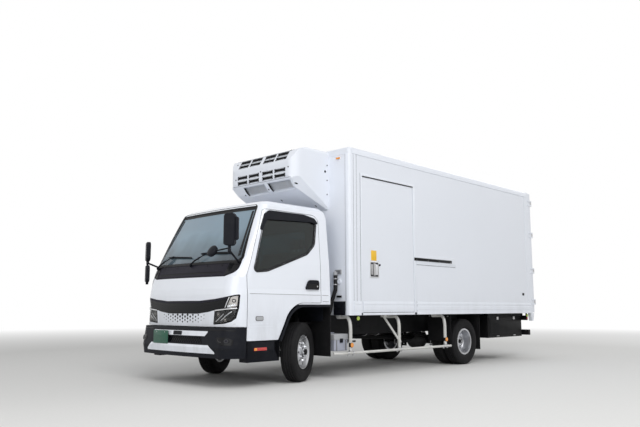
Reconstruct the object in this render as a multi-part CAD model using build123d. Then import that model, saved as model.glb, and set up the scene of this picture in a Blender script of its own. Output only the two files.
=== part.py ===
import os
from math import asin, atan2, cos, degrees, radians, sin

from build123d import *

# Refrigerated delivery truck, millimetres. +Z is up, the front faces -Y and +X is the
# vehicle's left. The origin is on the ground under the middle of the overall length.
# Places along the truck are given as distances behind the front axle, and along() turns
# them into Y. Like pieces come from short tables, whose columns are named beside them.

# Whole vehicle
WHEELBASE = 3795
FRONT_REACH = 1270
REAR_REACH = 2430
FRONT_TRACK = 1665
REAR_TRACK = 1560

# Wheels and tyres
TYRE_RADIUS = 377.5
TYRE_WIDTH = 205
RIM_RADIUS = 203
RIM_WALL = 9
TWIN_SPACING = 235
WHEEL_GAP = 0.3

# Steering
KINGPIN_X = 755
KINGPIN_RADIUS = 18
STEER_AT_REST = 24
STUB_RADIUS = 34

# Cab
CAB_HALF = 997
CAB_FRONT = -1190
CAB_REAR = 470
CAB_WALL = 48
CAB_BOW = 40
CAB_REAR_ROUND = 150
CAB_SILL_Z = 545
BUMPER_TOP_Z = 715
CAB_FLOOR_Z = 790
CAB_RAISED_FLOOR_Z = 1020
CAB_TOP = 2298
CAB_FLOOR_PLATE = 40
RISER_Y = -450
DOOR_FRONT = -956
DOOR_REAR = 288
DOOR_SEAM = 6
HINGE_SEAM = 8
GLASS = 5
GLASS_SET_BACK = 5

# Cargo box
BOX_HALF = 1098
BOX_FRONT = 755
BOX_REAR = 6165
BOX_BOTTOM = 836
BOX_TOP = 3181
BOX_WALL = 75
BOX_FLOOR = 100
BOX_ROOF = 86
BOX_POST = 80
BOX_POST_ROUND = 45
REAR_FRAME_DEPTH = 80
REAR_HINGES = [1050, 1650, 2350, 2980]
HINGE_MOVING = 56
HINGE_FIXED = 24
HINGE_STEP = (HINGE_MOVING + HINGE_FIXED) / 2 + 0.3
REAR_DOOR = 80
REAR_DOOR_GAP = 6
REAR_PIN_BACK = 46
REAR_PIN_X = BOX_HALF - 10
REAR_KNUCKLE = 14
REAR_DOOR_LOW = 850
REAR_DOOR_HIGH = 3168
REAR_CENTRE_OUT = 3.5
REAR_CENTRE_IN = 11
LOCK_ROD_X = [110, 640]
LOCK_GUIDES = [930, 1500, 2300, 3090]
FRAME_POST = 80
FRAME_HEADER = 90
SIDE_DOOR_FRONT = 1020
SIDE_DOOR_REAR = 2230
SIDE_DOOR_LOW = 870
SIDE_DOOR_HIGH = 2790
SIDE_DOOR_GAP = 5

# Chassis
RAIL_HALF = 425
RAIL_HEIGHT = 195
RAIL_TOP = 735
RAIL_FLANGE = 62
RAIL_PLATE = 7
SILL_WIDTH = 70
SPRING_X = 390
SPRING_WIDTH = 70
SPRING_THICK = 32
CONTACT = 0.3
REAR_END = 6060
MEMBER_HEIGHT = 95
TOW_EYE = 20
TOW_EYE_Z = 658
TOW_RADIUS = 16
CROSSMEMBERS = [-1050, 700, 1700, 2700, 3250, 4400, 5300, REAR_END - 60]
SUBFRAME_FRONT = 790
FLAP_GAP = 68
FLAP_THICK = 10
GUARD_X = 1030
GUARD_Z = 330
GUARD_POSTS = [835, 1925, 3138]

# Refrigeration unit
UNIT_HALF = 703
UNIT_FRONT = 60
UNIT_TOP = 3172
UNIT_BOTTOM = 2316
UNIT_ROUND = 135
UNIT_LIP = 2800
UNIT_SLOT_DEPTH = 28
# The lower bevel falls this much in each 100 mm back
UNIT_BEVEL_FALL = 66
HOSE_RADIUS = 26
HOSE_X = 850

FRONT_AXLE_Y = FRONT_REACH - (FRONT_REACH + WHEELBASE + REAR_REACH) / 2


def along(distance):
    """Y of a place that lies this far behind the front axle."""
    return distance + FRONT_AXLE_Y


def block(x, a, z):
    """A box from its (low, high) pairs in X, behind the front axle, and in Z."""
    centre = Pos((x[0] + x[1]) / 2, along((a[0] + a[1]) / 2), (z[0] + z[1]) / 2)
    return centre * Box(x[1] - x[0], a[1] - a[0], z[1] - z[0])


def both_sides(shape):
    """The shape with its mirror image on the vehicle's other side."""
    return Compound(children=[*shape.solids(), *mirror(shape, Plane.YZ).solids()])


def side_face(points, radii=None):
    """A face seen from the side, from (distance behind the front axle, z) corners."""
    corners = [(along(a), z) for a, z in points]
    if radii is None:
        return make_face(Polyline(*corners, close=True))
    return make_face(FilletPolyline(*corners, radius=radii, close=True))


def side_prism(face, x):
    """A side face carried across from the low to the high X."""
    return extrude(Plane.YZ.offset(x[0]) * face, x[1] - x[0])


def front_face(points, radii=None):
    """A face seen from the front, from (x, z) corners."""
    if radii is None:
        return make_face(Polyline(*points, close=True))
    return make_face(FilletPolyline(*points, radius=radii, close=True))


def front_prism(face, a):
    """A front face carried back between two distances behind the front axle."""
    return extrude(Plane.XZ.offset(-along(a[1])) * face, a[1] - a[0])


def rod(start, end, radius):
    """A round bar between two (x, distance, z) places."""
    low = Vector(start[0], along(start[1]), start[2])
    high = Vector(end[0], along(end[1]), end[2])
    line = high - low
    return extrude(Plane(origin=low, z_dir=line) * Circle(radius), line.length)


def bent_tube(points, bends, radius):
    """A tube through (x, distance, z) corners, with one bend radius for each inner corner."""
    path = FilletPolyline(*[(x, along(a), z) for x, a, z in points], radius=bends)
    return sweep(Plane(origin=path @ 0, z_dir=path % 0) * Circle(radius), path=path)


# Cab shell. Each section is a plan outline at its height: straight sides, rounded front
# corners and a bowed front.

# height, half width, front at the middle, corner radius
CAB_SECTIONS = [
    (CAB_SILL_Z, CAB_HALF - 9, CAB_FRONT + 30, 230),
    (BUMPER_TOP_Z, CAB_HALF - 2, CAB_FRONT + 6, 235),
    (1098, CAB_HALF, CAB_FRONT, 240),
    (1165, CAB_HALF - 9, CAB_FRONT + 6, 235),
    (1310, CAB_HALF - 13, CAB_FRONT + 38, 220),
    (1490, CAB_HALF - 22, CAB_FRONT + 125, 190),
    (2120, CAB_HALF - 85, CAB_FRONT + 452, 110),
    (2230, CAB_HALF - 112, CAB_FRONT + 509, 100),
    (2282, CAB_HALF - 165, CAB_FRONT + 580, 100),
    (CAB_TOP, CAB_HALF - 250, CAB_FRONT + 700, 100),
]


def plan_outline(height, half, front, radius, rear):
    """A closed plan outline: rear, two sides, two round corners and a bowed front."""
    lean = radius * (1 - sin(radians(45)))
    start = along(front) + CAB_BOW
    back = along(rear)
    left_side = (half, start + radius, height)
    left_front = (half - radius, start, height)
    edges = [
        Line((-half, back, height), (half, back, height)),
        Line((half, back, height), left_side),
        ThreePointArc(left_side, (half - lean, start + lean, height), left_front),
        ThreePointArc(left_front, (0, along(front), height), (radius - half, start, height)),
        ThreePointArc((radius - half, start, height), (lean - half, start + lean, height),
                      (-half, start + radius, height)),
        Line((-half, start + radius, height), (-half, back, height)),
    ]
    return Wire(edges)


def cab_form(inset):
    """The cab's outer form, drawn in on every side by inset."""
    outlines = []
    for height, half, front, radius in CAB_SECTIONS:
        drop = inset if height > 2100 else 0
        outlines.append(plan_outline(height - drop, half - inset, front + inset,
                                     radius - inset / 2, CAB_REAR - inset))
    form = Part() + Solid.make_loft(outlines, True)
    back, top, round_off = CAB_REAR - inset, CAB_TOP - inset, CAB_REAR_ROUND - inset
    lean = round_off * (1 - sin(radians(45)))
    corner = make_face([
        Line((along(back), top - round_off), (along(back) + 20, top - round_off)),
        Line((along(back) + 20, top - round_off), (along(back) + 20, top + 20)),
        Line((along(back) + 20, top + 20), (along(back - round_off), top + 20)),
        Line((along(back - round_off), top + 20), (along(back - round_off), top)),
        ThreePointArc((along(back - round_off), top), (along(back - lean), top - lean),
                      (along(back), top - round_off))])
    return form - side_prism(corner, (-FAR, FAR))


DOOR_CORNERS = [
    (DOOR_FRONT, 551), (-462, 551), (-292, 897), (-118, 1004), (DOOR_REAR, 1004),
    (DOOR_REAR + 24, 2165), (-641, 2165), (DOOR_FRONT, 1330),
]
DOOR_ROUNDS = [12, 12, 330, 330, 12, 110, 45, 140]
WINDOW_CORNERS = [
    (-862, 1372), (-640, 1392), (60, 1636), (205, 1765), (266, 2075), (-622, 2092),
]
WINDOW_ROUNDS = [40, 300, 120, 120, 50, 60]
VISOR_CORNERS = [
    (-724, 1908), (-642, 2105), (-578, 2150), (30, 2155), (228, 2122), (288, 2056),
    (262, 2044), (158, 2063), (-618, 2030), (-700, 1884),
]
VISOR_ROUNDS = [5, 30, 30, 60, 40, 10, 5, 30, 30, 5]
VISOR_STAND_OFF = 20
SCREEN_CORNERS = [(-898, 1492), (898, 1492), (780, 2218), (-780, 2218)]
SCREEN_ROUNDS = 45
COWL_HALF = [(742, 1312), (868, 1356), (900, 1402), (905, 1484)]
COWL_ROUNDS = [60, 60, 60, 10]
REAR_GLASS = ((-560, 560), (1560, 2000))
# The black panel of the grille runs out round both headlamps
GRILLE_HALF = [
    (310, 866), (507, 888), (622, 910), (602, 738), (800, 752), (882, 775), (928, 815),
    (950, 935), (958, 1098), (905, 1088), (830, 1071), (640, 1046), (350, 1024),
]
UPPER_LENS = [(812, 940), (868, 1062), (944, 1082), (934, 958), (880, 936)]
LOWER_LENS = [(614, 752), (636, 892), (928, 918), (908, 824), (872, 790), (803, 770)]
INLAY = 12

FAR = 1400
DOOR_INNER_X = CAB_HALF - 170


def mirrored_face(half, radii):
    """A front face from the corners of its left half, going up the outer side."""
    both = half + [(-x, z) for x, z in reversed(half)]
    return front_face(both, radii + radii[::-1])


cab_outer = cab_form(0)
cab_inner = cab_form(CAB_WALL)
door_face = side_face(DOOR_CORNERS, DOOR_ROUNDS)
door_opening_face = offset(door_face, DOOR_SEAM)
window_face = side_face(WINDOW_CORNERS, WINDOW_ROUNDS)
screen_face = front_face(SCREEN_CORNERS, SCREEN_ROUNDS)
cowl_face = mirrored_face(COWL_HALF, COWL_ROUNDS)
grille_face = mirrored_face(GRILLE_HALF, [12] * len(GRILLE_HALF))
lens_faces = [front_face(UPPER_LENS, 8), front_face(LOWER_LENS, 8)]
rear_glass_face = front_face(
    [(REAR_GLASS[0][0], REAR_GLASS[1][0]), (REAR_GLASS[0][1], REAR_GLASS[1][0]),
     (REAR_GLASS[0][1], REAR_GLASS[1][1]), (REAR_GLASS[0][0], REAR_GLASS[1][1])], 50)


def largest(shape):
    """The largest solid of a shape."""
    return Part() + shape.solids().sort_by(SortBy.VOLUME)[-1]


def cab_layer(face_prism, outer_inset, inner_inset):
    """The layer of the cab's skin between two insets, within a prism."""
    return (cab_form(outer_inset) - cab_form(inner_inset)) & face_prism


def make_cab_shell():
    body = cab_outer
    body -= cab_inner & block((-FAR, FAR), (-FAR, RISER_Y), (CAB_FLOOR_Z, 3000))
    body -= cab_inner & block((-FAR, FAR), (RISER_Y - 1, FAR), (CAB_RAISED_FLOOR_Z, 3000))
    under = CAB_HALF - 72
    riser_back = RISER_Y + CAB_FLOOR_PLATE
    body -= block((-under, under), (CAB_FRONT + 90, riser_back), (0, CAB_FLOOR_Z - CAB_FLOOR_PLATE))
    body -= block((-FAR, FAR), (riser_back, FAR), (0, CAB_RAISED_FLOOR_Z - CAB_FLOOR_PLATE))
    body -= block((-FAR, FAR), (-FAR, DOOR_FRONT - HINGE_SEAM), (0, BUMPER_TOP_Z))
    seam_face = door_opening_face + side_face(
        [(DOOR_FRONT - HINGE_SEAM, 540), (DOOR_FRONT + 40, 540),
         (DOOR_FRONT + 40, 1330), (DOOR_FRONT - HINGE_SEAM, 1330)])
    doorway = side_prism(seam_face, (DOOR_INNER_X, FAR))
    body -= doorway
    body -= mirror(doorway, Plane.YZ)
    skirt = block((DOOR_INNER_X, FAR), (DOOR_FRONT - HINGE_SEAM, -400), (0, 560))
    body -= skirt
    body -= mirror(skirt, Plane.YZ)
    body -= front_prism(screen_face, (-FAR, -400))
    body -= front_prism(rear_glass_face, (CAB_REAR - 200, CAB_REAR + 100))
    for face in (cowl_face, grille_face):
        body -= front_prism(face, (-FAR, -700)) - cab_form(INLAY)
    return largest(body)


def make_cowl():
    return cab_layer(front_prism(offset(cowl_face, -2), (-FAR, -700)), 0, INLAY)


def make_cab_glass():
    screen = cab_layer(front_prism(screen_face, (-FAR, -400)),
                       GLASS_SET_BACK, GLASS_SET_BACK + GLASS)
    rear = front_prism(rear_glass_face,
                       (CAB_REAR - GLASS_SET_BACK - GLASS, CAB_REAR - GLASS_SET_BACK))
    return Compound(children=[*screen.solids(), *rear.solids()])


def make_cab_door():
    leaf = (cab_outer - cab_inner) & side_prism(door_face, (DOOR_INNER_X, FAR))
    return leaf - side_prism(window_face, (DOOR_INNER_X, FAR))


def make_door_glass():
    return cab_layer(side_prism(window_face, (DOOR_INNER_X, FAR)),
                     GLASS_SET_BACK + 4, GLASS_SET_BACK + 4 + GLASS)


def make_door_fittings():
    """The handle and the rain visor above the window."""
    grip = side_face([(-5, 1172), (245, 1172), (245, 1295), (60, 1295)], [20, 20, 35, 60])
    handle = side_prism(grip, (CAB_HALF - 60, CAB_HALF + 12)) - cab_outer
    low, high = CAB_SECTIONS[5], CAB_SECTIONS[6]
    lean = degrees(atan2(low[1] - high[1], high[0] - low[0]))
    skin = Pos(high[1], 0, high[0]) * Rot(0, -lean, 0) * Pos(-high[1], 0, -high[0])
    visor_face = side_face(VISOR_CORNERS, VISOR_ROUNDS)
    visor = skin * side_prism(visor_face, (high[1] - 60, high[1] + VISOR_STAND_OFF)) - cab_outer
    return Compound(children=[largest(handle).solid(), largest(visor).solid()])


# Front of the cab: bumper, grille, lamps.
BUMPER_LOW = 351
RAIL_FRONT = -1090
BUMPER_FRONT = -FRONT_REACH
BUMPER_SECTIONS = [
    (BUMPER_LOW, CAB_HALF - 20, BUMPER_FRONT + 20, 210),
    (470, CAB_HALF - 8, BUMPER_FRONT, 230),
    (BUMPER_TOP_Z - 8, CAB_HALF - 8, BUMPER_FRONT + 38, 225),
]
BUMPER_WALL = 55
INTAKE = [(-510, 512), (510, 512), (470, 592), (-470, 592)]
INTAKE_DEPTH = 25
BAR_FACES = [
    front_face([(-532, 604), (532, 604), (584, 662), (-584, 662)], 8),
    front_face([(-744, 402), (744, 402), (610, 500), (-610, 500)], 12),
]


def bumper_form(inset):
    outlines = []
    for height, half, front, radius in BUMPER_SECTIONS:
        outlines.append(plan_outline(height, half - inset, front + inset, radius - inset / 2,
                                     DOOR_FRONT + 200))
    return Part() + Solid.make_loft(outlines, True)


def make_bumper():
    body = bumper_form(0) - bumper_form(BUMPER_WALL)
    body -= block((-FAR, FAR), (DOOR_FRONT - HINGE_SEAM - 2, 0), (300, 800))
    body -= front_prism(front_face(INTAKE, 20), (-FAR, -900)) - bumper_form(INTAKE_DEPTH)
    for face in BAR_FACES:
        body -= front_prism(face, (-FAR, -900)) - bumper_form(INLAY)
    bracket = block((RAIL_HALF - RAIL_FLANGE, RAIL_HALF), (BUMPER_FRONT + 75, RAIL_FRONT),
                    (560, 700))
    return body + bracket + mirror(bracket, Plane.YZ)


def make_bumper_bars():
    bars = []
    for face in BAR_FACES:
        bar = (bumper_form(0) - bumper_form(INLAY)) & front_prism(face, (-FAR, -900))
        bars += bar.solids()
    return Compound(children=bars)


def make_grille():
    panel = front_prism(grille_face, (-FAR, -700))
    for face in lens_faces:
        for lens in (face, mirror(face, Plane.YZ)):
            panel -= front_prism(lens, (-FAR, -700))
    return cab_layer(panel, 0, INLAY)


def make_headlamps():
    """Upper and lower lens of each lamp."""
    lenses = [cab_layer(front_prism(face, (-FAR, -700)), 0, INLAY) for face in lens_faces]
    return Compound(children=[solid for lens in lenses for solid in both_sides(lens).solids()])


# Cab inside
def make_dashboard():
    outline = side_face([(-1075, 1120), (-900, 1120), (-830, 1200), (-800, 1380),
                         (-860, 1440), (-1000, 1455), (-1075, 1400)], [10, 30, 20, 20, 20, 30, 20])
    inner = cab_form(CAB_WALL + CONTACT)
    return side_prism(outline, (-880, 880)) & inner


STEERING_CENTRE = (-480, -640, 1420)
STEERING_RADIUS = 200
STEERING_TILT = 38


def make_steering_wheel():
    grip = Pos(STEERING_RADIUS, 0, 0) * Rot(90, 0, 0) * RegularPolygon(15, 8)
    ring = revolve(grip, Axis.Z, 360)
    hub = Cylinder(60, 40)
    spokes = Box(2 * STEERING_RADIUS - 20, 36, 14)
    column = Pos(0, 0, -170) * Cylinder(28, 340)
    wheel = ring + hub + spokes + column
    place = Pos(STEERING_CENTRE[0], along(STEERING_CENTRE[1]), STEERING_CENTRE[2])
    return largest(place * Rot(-STEERING_TILT, 0, 0) * wheel - make_dashboard())


# low x, high x, top of the back
SEATS = [(-800, -270, 1900), (-180, 800, 1900)]


def make_seat(low, high, top):
    cushion_z = CAB_RAISED_FLOOR_Z + CONTACT
    outline = side_face(
        [(-330, cushion_z), (170, cushion_z), (330, cushion_z + 200), (400, top),
         (310, top + 20), (210, cushion_z + 230), (-330, cushion_z + 200)],
        [20, 30, 60, 40, 40, 60, 50])
    return side_prism(outline, (low, high)) & cab_form(CAB_WALL + 3)


# Mirrors on stays from the foot of each screen pillar.
MIRROR_REACH = 1120
MIRROR_BAR = 12
LEFT_HEAD = (935, -1200, 1857)
LEFT_TURN = 30
RIGHT_TURN = -25
RIGHT_HEAD_BACK = -1078
FRONT_VIEW_MIRROR = (600, -1190, 1615)


def mirror_head(width, depth, height, turn):
    """A mirror housing about the origin, with its glass turned from the rear."""
    head = fillet(Box(width, depth, height).edges().filter_by(Axis.Y), width / 3.4)
    return Rot(0, 0, turn) * chamfer(head.faces().sort_by(Axis.Y)[0].edges(), 10)


def make_left_mirror():
    x, a, z = LEFT_HEAD
    head = Pos(x, along(a), z) * mirror_head(140, 70, 388, LEFT_TURN)
    head += Pos(x + 42, along(a + 41), z + 12) * mirror_head(90, 45, 280, LEFT_TURN)
    foot = z - 250
    stay = rod((x, a, z - 180), (x, a, foot), MIRROR_BAR)
    stay += Pos(x, along(a), foot) * Sphere(MIRROR_BAR + 2)
    stay += rod((x, a, foot), (855, -985, 1475), MIRROR_BAR)
    round_x, round_a, round_z = FRONT_VIEW_MIRROR
    round_head = fillet(Cylinder(70, 46).edges(), 12)
    arm = rod((round_x, round_a, round_z), (x, a, foot + 30), 9)
    return head + stay + arm + Pos(round_x, along(round_a), round_z) * Rot(60, 0, 0) * round_head


def make_right_mirror():
    upper = mirror_head(165, 52, 267, RIGHT_TURN)
    x = -MIRROR_REACH - upper.bounding_box().min.X
    a = RIGHT_HEAD_BACK
    bar = rod((x, a, 1620), (x, a, 1480), MIRROR_BAR)
    arm = rod((x, a, 1555), (-860, -970, 1475), MIRROR_BAR)
    return (Pos(x, along(a), 1713) * upper
            + Pos(x, along(a), 1406) * mirror_head(150, 45, 236, RIGHT_TURN) + bar + arm)


def make_mirrors():
    return Compound(children=[largest(side - cab_outer).solid()
                              for side in (make_left_mirror(), make_right_mirror())])


# Steps, arch trims and guards by the front wheels.
def make_cab_step():
    step = block((CAB_HALF - 150, CAB_HALF - 12), (DOOR_FRONT + 2, -440), (300, 540))
    step -= block((CAB_HALF - 100, CAB_HALF), (-880, -520), (440, 541))
    hanger = block((CAB_HALF - 210, DOOR_INNER_X), (-880, -560), (440, CAB_FLOOR_Z - CAB_FLOOR_PLATE))
    return step + hanger + block((DOOR_INNER_X, CAB_HALF - 150), (-880, -560), (440, 520))


ARCH_TOP = CAB_RAISED_FLOOR_Z - CAB_FLOOR_PLATE - CONTACT
ARCH_OUTER = [(-446, 545), (-277, 885), (-108, ARCH_TOP), (CAB_REAR, ARCH_TOP)]
ARCH_WIDTH = 32


def make_trims():
    """Step and arch trim on each side of the cab."""
    outer = [(along(a), z) for a, z in ARCH_OUTER]
    line = FilletPolyline(*outer, radius=[320, 320])
    band = make_face(Wire([*line.edges()]).offset_2d(ARCH_WIDTH, Kind.INTERSECTION,
                                                     side=Side.RIGHT, closed=True))
    strip = side_prism(band, (CAB_HALF - 60, CAB_HALF + 8))
    return Compound(children=[*both_sides(make_cab_step()).solids(), *both_sides(strip).solids()])


# Chassis frame
def make_frame():
    web = block((RAIL_HALF - RAIL_PLATE, RAIL_HALF), (RAIL_FRONT, REAR_END),
                (RAIL_TOP - RAIL_HEIGHT, RAIL_TOP))
    low_flange = block((RAIL_HALF - RAIL_FLANGE, RAIL_HALF), (RAIL_FRONT, REAR_END),
                       (RAIL_TOP - RAIL_HEIGHT, RAIL_TOP - RAIL_HEIGHT + RAIL_PLATE))
    top_flange = block((RAIL_HALF - RAIL_FLANGE, RAIL_HALF), (RAIL_FRONT, REAR_END),
                       (RAIL_TOP - RAIL_PLATE, RAIL_TOP))
    rail = web + low_flange + top_flange
    ladder = rail + mirror(rail, Plane.YZ)
    inner = RAIL_HALF - RAIL_PLATE
    for distance in CROSSMEMBERS:
        ladder += block((-inner, inner), (distance - 4, distance + 4),
                        (RAIL_TOP - MEMBER_HEIGHT, RAIL_TOP))
        ladder += block((-inner, inner), (distance - 40, distance + 40),
                        (RAIL_TOP - MEMBER_HEIGHT, RAIL_TOP - MEMBER_HEIGHT + 8))
    eye = block((-TOW_EYE / 2, TOW_EYE / 2), (REAR_END - 60, REAR_END + 60),
                (TOW_EYE_Z - 40, RAIL_TOP - 15))
    hole = Pos(0, along(REAR_END + 28), TOW_EYE_Z) * Rot(0, 90, 0) * Cylinder(TOW_RADIUS, 60)
    ladder += eye - hole
    cab_mount = block((RAIL_HALF - 90, RAIL_HALF), (-1020, -940),
                      (RAIL_TOP, CAB_FLOOR_Z - CAB_FLOOR_PLATE))
    cab_mount += block((RAIL_HALF - 60, RAIL_HALF), (375, 450),
                       (RAIL_TOP, CAB_RAISED_FLOOR_Z - CAB_FLOOR_PLATE))
    engine_mount = block((ENGINE_HALF, inner), (-100, -40), (RAIL_TOP - RAIL_HEIGHT + 40, RAIL_TOP - 40))
    sides = cab_mount + engine_mount
    return ladder + sides + mirror(sides, Plane.YZ)


def make_subframe():
    sill = block((RAIL_HALF - SILL_WIDTH, RAIL_HALF), (SUBFRAME_FRONT, 6000),
                 (RAIL_TOP, BOX_BOTTOM))
    return both_sides(sill)


ENGINE_BACK = 360
ENGINE_HALF = 280


def make_engine():
    return block((-ENGINE_HALF, ENGINE_HALF), (-395, ENGINE_BACK), (400, 960))


def make_driveshaft():
    shaft = rod((0, ENGINE_BACK - 20, 560), (0, WHEELBASE - 60, 420), 40)
    return largest(shaft - make_engine() - make_rear_axle())


AXLE_Z = TYRE_RADIUS
BEAM_TOP = 375


def make_front_axle():
    beam = front_prism(front_face([(-640, 300), (640, 300), (KINGPIN_X - 75, 346),
                                   (KINGPIN_X - 25, 346), (KINGPIN_X - 25, 405),
                                   (640, BEAM_TOP), (-640, BEAM_TOP), (25 - KINGPIN_X, 405),
                                   (25 - KINGPIN_X, 346), (75 - KINGPIN_X, 346)]), (-32, 32))
    groove = front_prism(front_face([(-600, 318), (600, 318), (600, 357), (-600, 357)]), (12, 40))
    beam -= groove
    beam -= mirror(groove, Plane.XZ.offset(-along(0)))
    eye = Pos(KINGPIN_X, along(0), AXLE_Z) * Cylinder(36, 72)
    eye += mirror(eye, Plane.YZ)
    beam += eye
    bore = Pos(KINGPIN_X, along(0), AXLE_Z) * Cylinder(KINGPIN_RADIUS + WHEEL_GAP, 100)
    beam -= bore
    return beam - mirror(bore, Plane.YZ)


def steered(shape, side):
    """The straight-ahead shape turned about its kingpin to the steering angle at rest."""
    pivot = Pos(side * KINGPIN_X, along(0), 0)
    return pivot * Rot(0, 0, STEER_AT_REST) * pivot.inverse() * shape


DRUM_RADIUS = 150
HUB_INNER = FRONT_TRACK / 2 - 20


def make_knuckle(side):
    """Fork round the axle's eye, its kingpin, the brake drum and the stub axle."""
    upper = Pos(KINGPIN_X, along(0), AXLE_Z + 55) * Cylinder(36, 36)
    lower = Pos(KINGPIN_X, along(0), AXLE_Z - 55) * Cylinder(36, 36)
    pin = Pos(KINGPIN_X, along(0), AXLE_Z) * Cylinder(KINGPIN_RADIUS, 140)
    yoke = block((KINGPIN_X, KINGPIN_X + 50), (-34, 34), (AXLE_Z - 73, AXLE_Z - 37))
    yoke += block((KINGPIN_X, KINGPIN_X + 50), (-34, 34), (AXLE_Z + 37, AXLE_Z + 73))
    drum = Pos((KINGPIN_X + 45 + HUB_INNER - 2) / 2, along(0), AXLE_Z) * Rot(0, 90, 0) * Cylinder(
        DRUM_RADIUS, HUB_INNER - 2 - KINGPIN_X - 45)
    stub = rod((HUB_INNER - 10, 0, AXLE_Z), (HUB_INNER + 95, 0, AXLE_Z), STUB_RADIUS)
    whole = upper + lower + pin + yoke + drum + stub
    if side < 0:
        whole = mirror(whole, Plane.YZ)
    return steered(whole, side)


def wheel_ring(points, centre_x, distance):
    """A ring turned about a wheel's own axle, from (across, radius) corners."""
    face = make_face(Polyline(*[(centre_x + across, 0, radius) for across, radius in points],
                              close=True))
    ring = revolve(face, Axis((0, 0, 0), (1, 0, 0)), 360)
    return Pos(0, along(distance), AXLE_Z) * ring


HALF = TYRE_WIDTH / 2
BEAD = 73
FLANGE = 12
LIP = BEAD + 9
TYRE_PROFILE = [
    (-BEAD, RIM_RADIUS), (-BEAD, RIM_RADIUS + FLANGE + 2), (-HALF + 8, 238), (-HALF, 290),
    (-HALF + 6, 345),
    (-HALF + 22, TYRE_RADIUS - 8), (-45, TYRE_RADIUS), (45, TYRE_RADIUS),
    (HALF - 22, TYRE_RADIUS - 8), (HALF - 6, 345), (HALF, 290), (HALF - 8, 238),
    (BEAD, RIM_RADIUS + FLANGE + 2), (BEAD, RIM_RADIUS),
]
FRONT_RIM_PROFILE = [
    (-LIP, RIM_RADIUS + FLANGE), (-LIP, RIM_RADIUS - RIM_WALL - 4),
    (20, RIM_RADIUS - RIM_WALL - 14),
    (48, RIM_RADIUS - 40), (58, 120), (44, 96), (-20, 96), (-20, STUB_RADIUS + WHEEL_GAP),
    (96, STUB_RADIUS + WHEEL_GAP), (96, 62), (60, 70), (60, 96), (74, 122), (62, RIM_RADIUS - 32),
    (BEAD, RIM_RADIUS - RIM_WALL), (LIP, RIM_RADIUS), (LIP, RIM_RADIUS + FLANGE),
    (BEAD, RIM_RADIUS + FLANGE), (BEAD, RIM_RADIUS), (-BEAD, RIM_RADIUS),
    (-BEAD, RIM_RADIUS + FLANGE),
]
HAND_HOLES = 8


def make_front_rim():
    rim = wheel_ring(FRONT_RIM_PROFILE, FRONT_TRACK / 2, 0)
    cap = rod((FRONT_TRACK / 2 + 96, 0, AXLE_Z), (FRONT_TRACK / 2 + 100, 0, AXLE_Z), 62)
    rim += cap
    for index in range(HAND_HOLES):
        turn = Rot(360 * index / HAND_HOLES, 0, 0)
        hole = Pos(FRONT_TRACK / 2, along(0), AXLE_Z) * turn * Pos(60, 0, 142) * Rot(0, 90, 0)
        rim -= hole * Cylinder(15, 90)
    return rim


TWIN_IN = -TWIN_SPACING / 2
TWIN_OUT = TWIN_SPACING / 2
REAR_HUB_RADIUS = 105
REAR_RIM_PROFILE = [
    (TWIN_OUT - LIP, RIM_RADIUS), (TWIN_OUT + BEAD, RIM_RADIUS),
    (TWIN_OUT + BEAD, RIM_RADIUS + FLANGE), (TWIN_OUT + LIP, RIM_RADIUS + FLANGE),
    (TWIN_OUT + LIP, RIM_RADIUS - 14),
    (TWIN_OUT - 50, RIM_RADIUS - 20), (8, 150), (8, REAR_HUB_RADIUS), (60, 86), (100, 76),
    (104, 0), (-60, 0), (-60, REAR_HUB_RADIUS + 20), (-8, REAR_HUB_RADIUS + 20), (-8, 150),
    (TWIN_IN + 50, RIM_RADIUS - 20), (TWIN_IN - LIP, RIM_RADIUS - 14),
    (TWIN_IN - LIP, RIM_RADIUS + FLANGE), (TWIN_IN - BEAD, RIM_RADIUS + FLANGE),
    (TWIN_IN - BEAD, RIM_RADIUS), (TWIN_IN + LIP, RIM_RADIUS),
]


def make_rear_rims():
    rims = wheel_ring(REAR_RIM_PROFILE, REAR_TRACK / 2, WHEELBASE)
    for index in range(HAND_HOLES):
        turn = Rot(360 * index / HAND_HOLES, 0, 0)
        hole = Pos(REAR_TRACK / 2, along(WHEELBASE), AXLE_Z) * turn * Pos(0, 0, 160)
        rims -= hole * Rot(0, 90, 0) * Cylinder(15, 120)
    return rims


def make_rear_tyres():
    tyres = [wheel_ring(TYRE_PROFILE, REAR_TRACK / 2 + offset_x, WHEELBASE)
             for offset_x in (TWIN_IN, TWIN_OUT)]
    return Compound(children=[solid for tyre in tyres for solid in tyre.solids()])


def make_rear_axle():
    inner_end = REAR_TRACK / 2 - 60 - CONTACT
    profile = [(-inner_end, 0), (-inner_end, 60), (-190, 60), (-110, 135), (-40, 155),
               (40, 155), (110, 135), (190, 60), (inner_end, 60), (inner_end, 0)]
    return wheel_ring(profile, 0, WHEELBASE)


def spring_pair(centre, half_length, end_z, middle_z):
    """A bowed leaf pack on each side, hung from the rails by its two ends."""
    rise = end_z - middle_z
    bow = (half_length ** 2 + rise ** 2) / (2 * rise)
    swing = degrees(asin(half_length / bow))
    low = [(along(centre) + bow * sin(radians(t)), middle_z + bow - bow * cos(radians(t)))
           for t in (-swing, 0, swing)]
    thick = bow - SPRING_THICK
    high = [(along(centre) + thick * sin(radians(t)), middle_z + bow - thick * cos(radians(t)))
            for t in (swing, 0, -swing)]
    edges = [ThreePointArc(*low), Line(low[2], high[0]), ThreePointArc(*high),
             Line(high[2], low[0])]
    face = make_face(edges)
    leaf = side_prism(face, (SPRING_X - SPRING_WIDTH / 2, SPRING_X + SPRING_WIDTH / 2))
    top = RAIL_TOP - RAIL_HEIGHT
    for sign in (-1, 1):
        place = centre + sign * (half_length - 12)
        leaf += block((SPRING_X - 30, SPRING_X + 30), (place - 30, place + 30),
                      (end_z + 5, top))
    return leaf


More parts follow.
